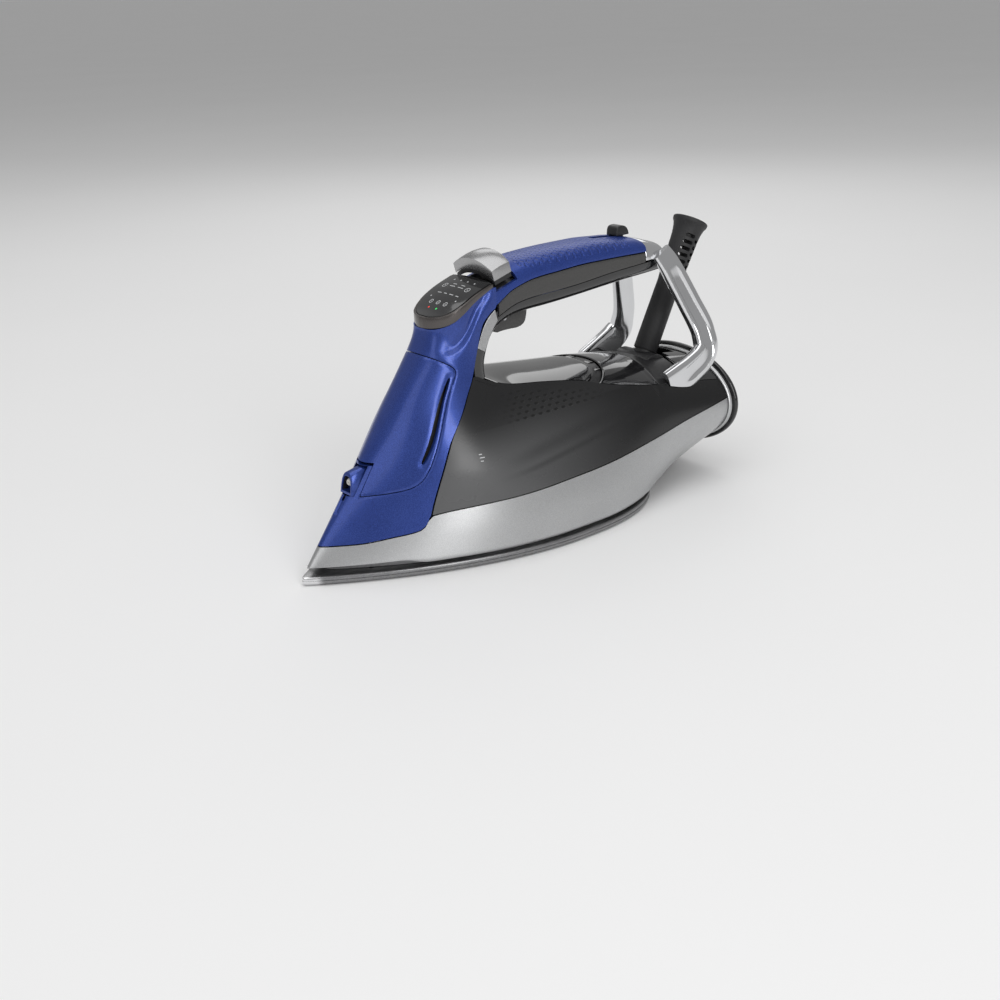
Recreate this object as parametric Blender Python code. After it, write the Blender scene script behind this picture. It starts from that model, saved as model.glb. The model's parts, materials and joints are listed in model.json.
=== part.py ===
"""Steam iron: soleplate, skirt, smoke tank, front shell, looped handle, heel plate and cord guard.

Blender 4.5. All sizes below are millimetres. x runs from the nose to the heel, y across, z up,
with z = 0 at the soleplate's face. The empty "iron" puts the middle of the length at x = 0.
"""

import math

import bmesh
import bpy
import numpy as np
from mathutils import Matrix, Vector

MM = 0.001
GAP = 0.3            # clearance between neighbouring pieces
WALL = 2.0           # wall of every moulded shell

# soleplate and heater
SOLE_LENGTH = 239.0
SOLE_WIDTH = 116.0
SOLE_THICK = 4.6
WIDEST_SHARE = 0.63  # share of the length, from the nose, at which the sole is widest
STEAM_HOLE_RADIUS = 1.6
HEATER_STATIONS_FOR = 239.0  # the sole length that the heater's x stations are given for
CASTING_HEIGHT = 9.0
CASTING_INSET = 4.0
HEEL_SETBACK = 14.0  # the casting ends this far ahead of the sole's heel
ELEMENT_RADIUS = 3.2

# body
HEEL_X = 284.0       # plane of the body's rear end
HEEL_CENTRE_Z = 44.8
HEEL_HALF_WIDTH = 46.5
HEEL_HALF_HEIGHT = 27.5
SKIRT_BOTTOM = 6.6
NOSE_LIFT = 2.2      # the skirt stands this much higher over the front, to slip under buttons
RIDGE_FOOT = 3.4     # x of the front ridge at the skirt's bottom edge
RIDGE_SLOPE = 0.765  # ridge's x per unit of height
RIDGE_BEND_Z = 108.0
RIDGE_BEND = 14.0    # height over which the ridge turns upright

FRONT_CORNER_Z = 31.0  # height of the blue shell's rear lower corner
FLOOR_Z = 31.0       # the insulating floor under the tank
VALVE_X = 104.0
ROOF_DROP = 4.2      # the tank's roof lies this far below the deck's edge
TANK_SEAM = 0.55 * WALL  # between the blue shell's rear edge and the tank
TANK_FOOT = 0.2 * WALL   # between the skirt's top edge and the tank
DECK_FRONT_X = 117.0
DECK_SPLIT_X = 186.0
CHANNEL_WIDTH = 8.0
HOUSING_FRONT_X = 233.0
HOUSING_REAR_X = 259.0
SUNK_SHARE = 0.985   # the sunk deck pieces are narrower by this share

# handle
HANDLE_HALF_WIDTH = 17.8
HANDLE_FRONT_X = 123.6
HANDLE_END_X = 237.5
UNDER_END_X = 253.0

# panel and button
PANEL_REAR_X = 121.0
BUTTON_X = 129.0
BUTTON_LENGTH = 12.6
BUTTON_HALF_WIDTH = 16.4
BUTTON_TILT = 16.0
BUTTON_Z = 145.4
BUTTON_HEIGHT = 5.6
BUTTON_CROWN = 5.4
BUTTON_TRAVEL = 2.5

# steam slider
SLIDER_X = 231.5
SLIDER_LENGTH = 10.6
SLIDER_HALF_WIDTH = 4.3
SLIDER_NECK = 2.6
SLIDER_TRAVEL = 20.0

# trigger
TRIGGER_PIN = (131.5, 121.8)
TRIGGER_HALF_WIDTH = 7.5
TRIGGER_PIN_HALF = 14.2

# filler door
DOOR_PIN = (46.5, 50.0)
DOOR_PIN_RADIUS = 1.5
DOOR_PIN_HALF = 11.0
DOOR_WALL = 1.2
DOOR_GAP = 0.5       # seam round the door, so that its edge clears as it swings
DOOR_LIP = 0.45      # the shell's edge below the door is thinned to this
DOOR_FOOT = 1.8      # the door ends this far above the spray hood, so that it swings clear of it

# spray hood
HOOD_TOP = 57.0
HOOD_BOTTOM = 43.0
HOOD_HALF_WIDTH = 5.2
NOZZLE_Z = 49.2

# cord guard
GUARD_PIVOT = (250.0, 66.0)
GUARD_LEAN = 27.7    # degrees back from upright
GUARD_LENGTH = 96.5
GUARD_RADIUS = 7.3
GUARD_MOUTH_RADIUS = 10.9
GUARD_BORE = 3.8
DRUM_RADIUS = 11.5
DRUM_HALF_LENGTH = 14.0

# heel plate
HEEL_PLATE_THICK = 3.4
HEEL_RIM = 3.6       # how far the plate stands out past the body


# ---------------------------------------------------------------- curves

def curve(points):
    """A smooth curve through (input, value) points that never overshoots them."""
    xs = np.array([p[0] for p in points], float)
    ys = np.array([p[1] for p in points], float)
    steps = np.diff(xs)
    slopes = np.diff(ys) / steps
    inner = [2 * a * b / (a + b) if a * b > 0 else 0.0 for a, b in zip(slopes, slopes[1:])]
    ends = np.array([slopes[0], *inner, slopes[-1]])

    def value(v):
        v = min(max(float(v), xs[0]), xs[-1])
        i = min(max(int(np.searchsorted(xs, v)) - 1, 0), len(steps) - 1)
        h = steps[i]
        t = (v - xs[i]) / h
        start = ys[i] * (1 + 2 * t) * (1 - t) ** 2 + ends[i] * h * t * (1 - t) ** 2
        end = ys[i + 1] * t * t * (3 - 2 * t) + ends[i + 1] * h * t * t * (t - 1)
        return start + end

    return value


def lerp(a, b, t):
    return a + (b - a) * t


def smooth(t):
    t = min(max(t, 0.0), 1.0)
    return t * t * (3 - 2 * t)


# half width of the body's flank at each height, at the middle of the length
flank = curve([
    (SKIRT_BOTTOM, 0.490 * SOLE_WIDTH), (20, 0.485 * SOLE_WIDTH), (36, 0.462 * SOLE_WIDTH),
    *((z, HANDLE_HALF_WIDTH + share * (SOLE_WIDTH / 2 - HANDLE_HALF_WIDTH)) for z, share in (
        (50, 0.766), (62, 0.602), (72, 0.428), (81, 0.266), (90, 0.142), (100, 0.075), (112, 0.035))),
    (128, HANDLE_HALF_WIDTH + 0.4), (150, HANDLE_HALF_WIDTH - 0.8),
])
nose_span = curve([(SKIRT_BOTTOM, 0.615 * SOLE_LENGTH), (36, 115), (60, 78), (90, 40), (110, 27), (126, 22)])
nose_power = curve([(SKIRT_BOTTOM, 1.85), (60, 2.0), (126, 2.3)])
nose_bluff = curve([(SKIRT_BOTTOM, 1.0), (36, 0.95), (60, 0.85), (90, 0.62), (126, 0.52)])
keel = curve([(165, -14), (205, -6), (225, 0), (243, 6), (262, 12), (HEEL_X, HEEL_CENTRE_Z - HEEL_HALF_HEIGHT)])
keel_power = curve([(165, 3.6), (225, 3.0), (HEEL_X, 2.0)])
crest = curve([(165, 104), (205, 93), (225, 86), (250, 79), (HEEL_X, HEEL_CENTRE_Z + HEEL_HALF_HEIGHT)])


def sole_half_width(x):
    """Half width of the soleplate: a pointed nose with a small radius, and a round heel."""
    widest = WIDEST_SHARE * SOLE_LENGTH
    if x < widest:
        run = math.sqrt(x * x + 5 * x)
        return SOLE_WIDTH / 2 * (1 - (1 - min(run / widest, 1)) ** 1.85)
    share = min((x - widest) / (SOLE_LENGTH - widest), 1)
    return SOLE_WIDTH / 2 * math.sqrt(max(1 - share ** 2.6, 0))


def ridge(z):
    """x of the front ridge at a height."""
    straight = RIDGE_FOOT + RIDGE_SLOPE * (min(z, RIDGE_BEND_Z) - SKIRT_BOTTOM - NOSE_LIFT)
    past = min(max(z - RIDGE_BEND_Z, 0), RIDGE_BEND)
    return straight + RIDGE_SLOPE * past - 0.33 / RIDGE_BEND * past * past


def half_width(x, z):
    """Half width of the body at a point of the side view."""
    run = max(x - ridge(z), 0)
    run = math.sqrt(run * run + 5 * run)
    nose = (1 - (1 - min(run / nose_span(z), 1)) ** nose_power(z)) ** nose_bluff(z)
    if z < HEEL_CENTRE_Z:
        depth = (HEEL_CENTRE_Z - z) / (HEEL_CENTRE_Z - keel(x))
        power = keel_power(x)
    else:
        depth = (z - HEEL_CENTRE_Z) / (crest(x) - HEEL_CENTRE_Z)
        power = 2.0
    oval = HEEL_HALF_WIDTH * max(1 - min(depth, 1) ** power, 0) ** (1 / power)
    wide = flank(z)
    return nose * lerp(wide, min(wide, oval) if x > 225 else oval, smooth((x - 165) / 85))


# side view of the seams
blue_edge = curve([(31.0, 61.8), (40, 65.2), (67.7, 78.8), (84.6, 93), (97, 102), (109, 107), (123, 112.6),
                   (127.8, 117.9), (130.8, 122.4), (142.4, HANDLE_FRONT_X - GAP)])
skirt_top = curve([(10, 19.0), (28, 19.6), (42, 21.6), (54.9, 23.8), (59.3, 26.7), (61.8, 31.0), (84, 33.6),
                   (107, 34.8), (134, 36.2), (160, 37.0), (217, 41), (253, 46.3), (HEEL_X, 50.8)])
skirt_bottom = curve([(0, SKIRT_BOTTOM + NOSE_LIFT), (45, SKIRT_BOTTOM + NOSE_LIFT), (58, SKIRT_BOTTOM),
                      (205, SKIRT_BOTTOM), (225, 8.6), (243, 12.5), (262, 16.0), (HEEL_X, 19.0)])
deck_edge = curve([(104, 96.5), (112, 92.5), (126, 88.0), (148, 84.9), (174, 80.6), (190, 76.0), (207, 72.2),
                   (225, 68.9), (240, 66.8), (262, 63.5), (HEEL_X, 60.0)])
deck_top = curve([(104, 98.0), (118, 91.0), (126, 89.7), (148, 87.9), (174, 85.4), (190, 84.0), (207, 82.2),
                  (225, 79.6), (250, 76.8), (HEEL_X, HEEL_CENTRE_Z + HEEL_HALF_HEIGHT)])
panel_top = curve([(82, 126.5), (90.6, 128.9), (95.9, 131.5), (101.7, 134.8), (109.2, 138.4), (120.5, 142.4)])
panel_foot = curve([(82, 121.8), (90.5, 124.2), (95.5, 126.4), (101.3, 130.2), (109, 135.2), (121, 140.9)])


# ---------------------------------------------------------------- building blocks

def finish(name, colour, metallic=0.0, roughness=0.45):
    material = bpy.data.materials.new(name)
    material.use_nodes = True
    shader = material.node_tree.nodes["Principled BSDF"]
    shader.inputs["Base Color"].default_value = (*colour, 1)
    shader.inputs["Metallic"].default_value = metallic
    shader.inputs["Roughness"].default_value = roughness
    material.diffuse_color = (*colour, 1)
    return material


def make(name, points, faces, material, sharp=35):
    """One object from points in millimetres, with its faces turned outwards."""
    mesh = bpy.data.meshes.new(name)
    mesh.from_pydata([Vector(p) * MM for p in points], [], faces)
    work = bmesh.new()
    work.from_mesh(mesh)
    bmesh.ops.remove_doubles(work, verts=work.verts, dist=1e-6)
    bmesh.ops.recalc_face_normals(work, faces=work.faces)
    work.to_mesh(mesh)
    work.free()
    mesh.materials.append(material)
    mesh.shade_smooth()
    mesh.set_sharp_from_angle(angle=math.radians(sharp))
    piece = bpy.data.objects.new(name, mesh)
    bpy.context.scene.collection.objects.link(piece)
    piece.parent = bpy.data.objects["iron"]
    return piece


def loft(name, rings, material, sharp=35, closed=False):
    """A solid through rings of equal count, with flat ends, or closed on itself."""
    count = len(rings[0])
    points = [p for ring in rings for p in ring]
    faces = []
    spans = len(rings) if closed else len(rings) - 1
    for i in range(spans):
        a = i * count
        b = (i + 1) % len(rings) * count
        for k in range(count):
            n = (k + 1) % count
            faces.append((a + k, a + n, b + n, b + k))
    if not closed:
        faces.append(tuple(range(count)))
        faces.append(tuple(range(len(points) - count, len(points))))
    return make(name, points, faces, material, sharp)


def shell(name, point, across, along, wall, material, inside=(150, 0, 60)):
    """A closed sheet of even thickness. point(s, t) gives its outer face, s and t from 0 to 1."""
    grid = np.array([[point(i / across, j / along) for j in range(along + 1)] for i in range(across + 1)], float)
    normals = np.cross(np.gradient(grid, axis=0), np.gradient(grid, axis=1))
    normals /= np.maximum(np.linalg.norm(normals, axis=2, keepdims=True), 1e-9)
    outward = ((grid - np.array(inside)) * normals).sum(axis=2).mean()
    inner = grid - normals * wall * (1 if outward > 0 else -1)
    points = [tuple(p) for p in grid.reshape(-1, 3)] + [tuple(p) for p in inner.reshape(-1, 3)]
    row = along + 1
    half = (across + 1) * row
    faces = []
    for i in range(across):
        for j in range(along):
            a = i * row + j
            quad = (a, a + 1, a + row + 1, a + row)
            faces.append(quad)
            faces.append(tuple(q + half for q in reversed(quad)))
    border = [j for j in range(row)]
    border += [i * row + along for i in range(1, across + 1)]
    border += [across * row + j for j in range(along - 1, -1, -1)]
    border += [i * row for i in range(across - 1, 0, -1)]
    for a, b in zip(border, border[1:] + border[:1]):
        faces.append((a, b, b + half, a + half))
    return make(name, points, faces, material)


def slab(name, outline, low, high, material, sharp=35):
    """A plan outline of (x, y) points between two heights."""
    return loft(name, [[(x, y, low) for x, y in outline], [(x, y, high) for x, y in outline]], material, sharp)


def prism(name, outline, low, high, material, sharp=35):
    """A side-view outline of (x, z) points between two values of y."""
    return loft(name, [[(x, low, z) for x, z in outline], [(x, high, z) for x, z in outline]], material, sharp)


def block(name, low, high, material):
    outline = [(low[0], low[1]), (high[0], low[1]), (high[0], high[1]), (low[0], high[1])]
    return slab(name, outline, low[2], high[2], material)


def frame_of(direction):
    """Two unit vectors across a direction."""
    direction = Vector(direction).normalized()
    side = Vector((0, 1, 0))
    if abs(direction.y) > 0.9:
        side = Vector((1, 0, 0))
    first = direction.cross(side).normalized()
    return direction, first, direction.cross(first)


def turned(name, profile, base, direction, material, sides=24, sharp=35):
    """A profile of (radius, distance) points turned about a line. Its first and last points close it."""
    axis, first, second = frame_of(direction)
    rings = []
    for k in range(sides):
        angle = 2 * math.pi * k / sides
        out = first * math.cos(angle) + second * math.sin(angle)
        rings.append([Vector(base) + axis * d + out * r for r, d in profile])
    return loft(name, rings, material, sharp, closed=True)


def rod(name, start, end, radius, material, sides=16, sharp=35):
    start = Vector(start)
    axis, first, second = frame_of(Vector(end) - start)
    length = (Vector(end) - start).length
    rings = []
    for d in (0, length):
        ring = []
        for k in range(sides):
            angle = 2 * math.pi * k / sides
            ring.append(start + axis * d + (first * math.cos(angle) + second * math.sin(angle)) * radius)
        rings.append(ring)
    return loft(name, rings, material, sharp)


def pipe(name, path, radius, material, sides=10):
    """A bent rod along a list of points."""
    path = [Vector(p) for p in path]
    rings = []
    for i, p in enumerate(path):
        ahead = path[min(i + 1, len(path) - 1)] - path[max(i - 1, 0)]
        axis = ahead.normalized()
        first = axis.cross(Vector((0, 0, 1)))
        if first.length < 0.35:
            first = axis.cross(Vector((1, 0, 0)))
        first.normalize()
        second = axis.cross(first)
        if rings and (rings[-1][0] - path[i - 1]).dot(first) < 0:
            first = -first
            second = -second
        ring = []
        for k in range(sides):
            angle = 2 * math.pi * k / sides
            ring.append(p + (first * math.cos(angle) + second * math.sin(angle)) * radius)
        rings.append(ring)
    return loft(name, rings, material, 50)


def cutter(piece):
    piece.hide_render = True
    piece.display_type = "WIRE"
    return piece


def combine(piece, other, operation="DIFFERENCE"):
    boolean = piece.modifiers.new(operation.title(), "BOOLEAN")
    boolean.operation = operation
    boolean.object = other
    return piece


def round_edges(piece, width, segments=2, angle=40):
    bevel = piece.modifiers.new("Bevel", "BEVEL")
    bevel.width = width * MM
    bevel.segments = segments
    bevel.limit_method = "ANGLE"
    bevel.angle_limit = math.radians(angle)
    return piece


def pivot(piece, point):
    """Moves the piece's origin to a point on its joint, without moving its shape."""
    point = Vector(point) * MM
    piece.data.transform(Matrix.Translation(-point))
    piece.location = point
    return piece


# ---------------------------------------------------------------- finishes

def make_finishes():
    return {
        "blue": finish("blue", (0.045, 0.085, 0.44), 0.35, 0.34),
        "silver": finish("silver", (0.52, 0.53, 0.54), 0.9, 0.32),
        "chrome": finish("chrome", (0.78, 0.78, 0.80), 1.0, 0.12),
        "smoke": finish("smoke", (0.02, 0.021, 0.024), 0.0, 0.10),
        "gloss_black": finish("gloss_black", (0.01, 0.01, 0.011), 0.0, 0.12),
        "dark_grey": finish("dark_grey", (0.045, 0.045, 0.047), 0.0, 0.5),
        "black": finish("black", (0.012, 0.012, 0.013), 0.0, 0.45),
        "plate": finish("plate", (0.30, 0.30, 0.31), 1.0, 0.3),
        "cast": finish("cast", (0.42, 0.42, 0.43), 1.0, 0.5),
        "steel": finish("steel", (0.5, 0.5, 0.52), 1.0, 0.3),
        "brass": finish("brass", (0.6, 0.45, 0.2), 1.0, 0.3),
        "white": finish("white", (0.75, 0.74, 0.7), 0.0, 0.5),
        "board": finish("board", (0.03, 0.14, 0.06), 0.0, 0.5),
        "seal": finish("seal", (0.45, 0.06, 0.04), 0.0, 0.6),
        "clear": finish("clear", (0.75, 0.78, 0.8), 0.0, 0.15),
    }


# ---------------------------------------------------------------- soleplate and heater

def plan_outline(width_at, start, end, count):
    """A closed outline, nose and heel on the centre line, from a half width along x."""
    xs = [start + (end - start) * (1 - math.cos(math.pi * k / count)) / 2 for k in range(count + 1)]
    upper = [(x, width_at(x)) for x in xs[1:-1]]
    return [(xs[0], 0.0), *upper, (xs[-1], 0.0), *[(x, -y) for x, y in reversed(upper)]]


def inset_sole(inset):
    """The sole's outline moved inwards: the nose moves back further, because it is pointed."""
    top = SOLE_THICK + GAP + CASTING_HEIGHT
    back = max(1.75 * inset, ridge(top) + 8)
    length = SOLE_LENGTH - back - HEEL_SETBACK
    share = (SOLE_WIDTH - 2 * inset) / SOLE_WIDTH

    def width_at(x):
        inside_skirt = min(half_width(x, skirt_bottom(x)), half_width(x, top)) - WALL - 1.5
        return max(min(sole_half_width((x - back) / length * SOLE_LENGTH) * share, inside_skirt), 0.05)
    return plan_outline(width_at, back, back + length, 26)


def make_soleplate(f):
    outline = plan_outline(sole_half_width, 0.0, SOLE_LENGTH, 34)
    sole = slab("soleplate", outline, 0.0, SOLE_THICK, f["plate"])
    round_edges(sole, 0.9, 2, 60)
    holes = []
    for row, inset in enumerate((9.0, 17.0)):
        for k in range(6):
            x = 34 + 17.0 * k + 8 * row
            y = sole_half_width(x) - inset
            holes += [(x, y), (x, -y)]
    holes += [(24.0, 0.0), (44.0, 0.0)]
    for k, (x, y) in enumerate(holes):
        hole = rod(f"cut_steam_{k}", (x, y, -1), (x, y, SOLE_THICK + 1), STEAM_HOLE_RADIUS, f["plate"], 8)
        combine(sole, cutter(hole))
    return sole


def station(x):
    """An x of the heater's layout, moved with the sole's length."""
    return x * SOLE_LENGTH / HEATER_STATIONS_FOR


def element_path(lift):
    """The heating element: a hairpin round the nose, with both ends turned up at the rear."""
    height = SOLE_THICK + GAP + CASTING_HEIGHT + lift
    side = [(station(x), sole_half_width(station(x)) - 15.5 - 0.0006 * (x - 60) ** 2)
            for x in (190, 160, 130, 100, 76, 60)]
    nose = [(station(48), side[-1][1] - 6), (station(40.5), 5.5)]
    half = side + nose
    ends = [(station(x), half[0][1], height + up) for x, up in ((205, 14), (205, 6), (201.5, 1.2))]
    left = [(x, y, height) for x, y in half]
    right = [(x, -y, z) for x, y, z in reversed(ends + left)]
    return ends + left + [(station(38.5), 0.0, height)] + right


def make_heater(f):
    low = SOLE_THICK + GAP
    casting = slab("heater_casting", inset_sole(CASTING_INSET), low, low + CASTING_HEIGHT, f["cast"])
    groove = pipe("cut_element", element_path(1.0), ELEMENT_RADIUS + GAP, f["cast"], 12)
    combine(casting, cutter(groove))
    pipe("heating_element", element_path(1.0), ELEMENT_RADIUS, f["steel"], 10)

    top = low + CASTING_HEIGHT + GAP
    cover_outline = plan_outline(lambda x: (sole_half_width(x) - 24) * 0.86, station(62), station(176), 18)
    gasket = slab("chamber_gasket", cover_outline, top, top + 1.2, f["seal"])
    inner = plan_outline(lambda x: (sole_half_width(x) - 24) * 0.86 - 4, station(74), station(170), 18)
    combine(gasket, cutter(slab("cut_gasket", inner, top - 1, top + 3, f["seal"])))
    cover = slab("steam_chamber_cover", cover_outline, top + 1.2 + GAP, top + 3.0 + GAP, f["cast"])
    inlet = rod("cut_inlet", (VALVE_X, 0, top), (VALVE_X, 0, top + 6), 2.6, f["cast"], 12)
    combine(cover, cutter(inlet))

    plate_top = top + 3.0 + 2 * GAP
    x = station(152)
    thermostat = rod("thermostat", (x, 0, plate_top), (x, 0, plate_top + 7.5), 9.0, f["white"], 20)
    round_edges(thermostat, 0.8)
    x = station(184)
    rod("thermal_fuse", (x, -11, top + 2.6), (x, 11, top + 2.6), 2.4, f["white"], 12)
    for side, y in (("left", 1), ("right", -1)):
        at = (SOLE_LENGTH - HEEL_SETBACK - 3, 24 * y)
        rod(f"sole_screw_{side}", (at[0], at[1], low + CASTING_HEIGHT + GAP),
            (at[0], at[1], low + CASTING_HEIGHT + 4), 3.2, f["steel"], 6)


def make_chassis(f):
    """The insulating floor under the tank, the drip valve in it, and the rear base."""
    floor = FLOOR_Z
    clear = WALL + GAP
    outline = plan_outline(lambda x: max(half_width(x, floor) - clear - 1.8, 0.0), ridge(floor) + 10,
                           HEEL_X - 3.5, 26)
    outline = [(x, y) for x, y in outline if x < HEEL_X - 3.6]
    chassis = slab("chassis_floor", outline, floor, floor + 2.0, f["dark_grey"])
    hole = rod("cut_valve", (VALVE_X, 0, floor - 1), (VALVE_X, 0, floor + 3), 4.0 + GAP, f["white"], 16)
    combine(chassis, cutter(hole))
    base = SOLE_THICK + CASTING_HEIGHT + 5.2
    turned("drip_valve", [(1.2, base), (4.0, base), (4.0, floor + 2.0), (6.0, floor + 2.0 + GAP),
                          (6.0, floor + 6.0), (1.2, floor + 6.0)], (VALVE_X, 0, 0), (0, 0, 1), f["white"], 16)
    xs = [231, 240, 250, 262, 272, HEEL_X - 3.0]
    rings = []
    for x in xs:
        z = skirt_bottom(x) + 0.6
        wide = half_width(x, z) - clear - 1.4
        rings.append([(x, -wide, z), (x, wide, z), (x, wide, z + 1.8), (x, -wide, z + 1.8)])
    loft("rear_base", rings, f["black"])


# ---------------------------------------------------------------- body shells

def mirrored(s):
    """Splits 0..1 into a side (-1 or 1) and a share from the ridge (0) to the rear edge (1)."""
    run = 2 * s - 1
    return (-1 if run < 0 else 1), abs(run)


def skirt_point(s, t):
    side, share = mirrored(s)
    run = share ** 1.7
    low_x = lerp(RIDGE_FOOT, HEEL_X - 3.0, run)
    high_x = lerp(ridge(skirt_top(10)), HEEL_X - 3.0, run)
    x = lerp(low_x, high_x, t)
    z = lerp(skirt_bottom(low_x), skirt_top(high_x) - GAP, t)
    x = max(x, ridge(z))
    return x, side * half_width(x, z), z


def front_point(s, t):
    side, share = mirrored(s)
    run = share ** 1.6
    top = t
    rear_x = blue_edge(lerp(FRONT_CORNER_Z, 141.0, top))
    foot = skirt_top(10)
    for _ in range(4):
        foot = skirt_top(lerp(ridge(foot), blue_edge(FRONT_CORNER_Z), run))
    head = panel_foot(lerp(ridge(122), blue_edge(141.0), run))
    z = lerp(foot + GAP, head - GAP, top)
    x = lerp(ridge(z), rear_x, run)
    return x, side * half_width(x, z), z


def make_skirt(f):
    shell("skirt", skirt_point, 40, 4, WALL, f["silver"])


def door_outline(grow):
    """Side view of the filler door, from past the ridge to the finger channel."""
    foot = (22.0, 42.6 - grow)
    return [foot, (36, 42.9 - grow), (50.3, 44.6 - grow), (58.5 + grow, 46.9 - grow), (63.6 + grow, 51.5),
            (70.6 + grow, 63.2), (80.6 + grow, 81.5), (91.8 + grow, 98.5), (92.4 + grow, 101.8 + grow),
            (89.4, 104.6 + grow), (83.3, 108.2 + grow), (76.0, 111.6 + grow), (62.0, 113.5 + grow)]


def skin_x(y, z):
    """x at which the nose's flank passes a half width."""
    low = ridge(z)
    high = low + 60
    for _ in range(30):
        middle = (low + high) / 2
        if half_width(middle, z) < y:
            low = middle
        else:
            high = middle
    return high


def make_front(f):
    """Front shell, with the filler door cut out of it as a piece of the same surface."""
    front = shell("front_shell", front_point, 26, 16, WALL, f["blue"])
    hole = cutter(prism("cut_door", door_outline(DOOR_GAP), -60, 60, f["blue"]))
    half = HOOD_HALF_WIDTH + 2.0
    tongue = cutter(block("cut_tongue", (10, -half, 30), (60, half, HOOD_TOP + GAP), f["blue"]))
    combine(hole, tongue)
    combine(front, hole)
    combine(front, cutter(lip_relief(f)))
    combine(front, cutter(hood_body("cut_hood", GAP, f)))
    for name, side in (("left", 1), ("right", -1)):
        room = block(f"cut_room_{name}", (42.5, min(side * 6, side * 12), 46), (51, max(side * 6, side * 12), 54), f["blue"])
        combine(front, cutter(room))
    make_door(f, half)


def lip_relief(f):
    """The inside of the shell's edge below the door, where the door's own edge swings in."""
    rings = []
    for z in (40.0, 41.4, 42.8, 44.2):
        outline = plan_outline(lambda x, z=z: max(half_width(x, z) - DOOR_LIP, 0.05), ridge(z) + 2 * DOOR_LIP, 48, 16)
        rings.append([(x, y, z) for x, y in outline])
    return loft("cut_lip", rings, f["blue"])


def make_door(f, half):
    door = shell("filler_door", front_point, 26, 16, DOOR_WALL, f["blue"])
    keep = cutter(prism("cut_door_keep", door_outline(0.0), -60, 60, f["blue"]))
    around = cutter(block("cut_around", (10, -half - GAP, 30), (60, half + GAP, HOOD_TOP + DOOR_FOOT), f["blue"]))
    combine(keep, around)
    combine(door, keep, "INTERSECT")
    x, z = DOOR_PIN
    for name, side in (("left", 1), ("right", -1)):
        rings = []
        for height in (z - 3, z + 1, z + 5):
            front = skin_x(half + GAP, height) + 0.6
            side_front = skin_x(half + 5, height) + 0.6
            ring = [(front, half + GAP), (side_front, half + 5), (x + 3, half + 5), (x + 3, half + GAP)]
            rings.append([(px, side * py, height) for px, py in ring])
        combine(door, cutter(loft(f"add_lug_{name}", rings, f["blue"])), "UNION")
        hole = rod(f"cut_lug_{name}", (x, side * 5, z), (x, side * (DOOR_PIN_HALF + GAP), z),
                   DOOR_PIN_RADIUS + GAP, f["blue"], 12)
        combine(door, cutter(hole))
    pivot(door, (x, 0, z))


def hood_body(name, grow, f):
    """The spray hood: a small rounded nose block, set into the front shell."""
    outline = [(30.4 - grow, HOOD_BOTTOM - grow), (49.4 + grow, HOOD_BOTTOM - grow), (50.4 + grow, HOOD_TOP + grow),
               (38.0 - grow, HOOD_TOP + grow), (31.4 - grow, HOOD_TOP - 1.6 + grow)]
    wide = HOOD_HALF_WIDTH + grow
    return prism(name, outline, -wide, wide, f["blue"])


def make_spray(f):
    hood = hood_body("spray_hood", 0.0, f)
    pocket = block("cut_pocket", (20, -3.8, HOOD_BOTTOM + 2.0), (35.5, 3.8, HOOD_TOP - 3.0), f["blue"])
    combine(hood, cutter(pocket))
    bore = rod("cut_nozzle", (30, 0, NOZZLE_Z), (43, 0, NOZZLE_Z), 2.2 + GAP, f["blue"], 14)
    combine(hood, cutter(bore))
    x, z = DOOR_PIN
    pin_bore = rod("cut_hood_pin", (x, -20, z), (x, 20, z), DOOR_PIN_RADIUS + GAP, f["blue"], 12)
    combine(hood, cutter(pin_bore))
    turned("spray_nozzle", [(0.6, 0), (1.6, 0), (2.2, 1.2), (2.2, 9.6), (0.6, 9.6)], (32.6, 0, NOZZLE_Z), (1, 0, 0),
           f["white"], 14)
    rod("door_pin", (x, -DOOR_PIN_HALF, z), (x, DOOR_PIN_HALF, z), DOOR_PIN_RADIUS, f["steel"], 12)


def tank_front_x(z):
    return blue_edge(max(min(z, 96.5), 31.0)) + TANK_SEAM


def tank_point(s, t):
    """t runs across: up the right flank, over the roof under the deck, and down the left flank."""
    run = s
    side = -1 if t < 0.5 else 1
    across = abs(2 * t - 1)
    flank_share = 0.36
    rear = HEEL_X - 3.0
    if across > flank_share:
        down = (across - flank_share) / (1 - flank_share)
        front_z = lerp(96.0, 31.6, down)
        front_x = tank_front_x(front_z)
        x = lerp(front_x, rear, run)
        top = deck_edge(x)
        low = max(skirt_top(x), 31.3)
        front_low = 31.3 + TANK_FOOT
        z = lerp(top, low + TANK_FOOT, down)
        if run == 0:
            z = lerp(96.0, front_low, down)
        return x, side * half_width(x, z), z
    share = across / flank_share
    x = lerp(tank_front_x(96.0), rear, run)
    top = deck_edge(x)
    wide = half_width(x, top) - 2.6
    return x, side * wide * share, top - ROOF_DROP


def make_tank(f):
    tank = shell("tank_shell", tank_point, 14, 28, WALL, f["smoke"])
    combine(tank, cutter(block("cut_tank", (230, -22, 50), (274, 22, 90), f["smoke"])))


def deck_point(front, rear):
    def point(s, t):
        x = lerp(front, rear, s)
        edge = deck_edge(x)
        wide = half_width(x, edge) - GAP
        across = 2 * t - 1
        rise = (deck_top(x) - edge) * (1 - abs(across) ** 2.4)
        return x, wide * across, edge + GAP + rise
    return point


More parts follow.
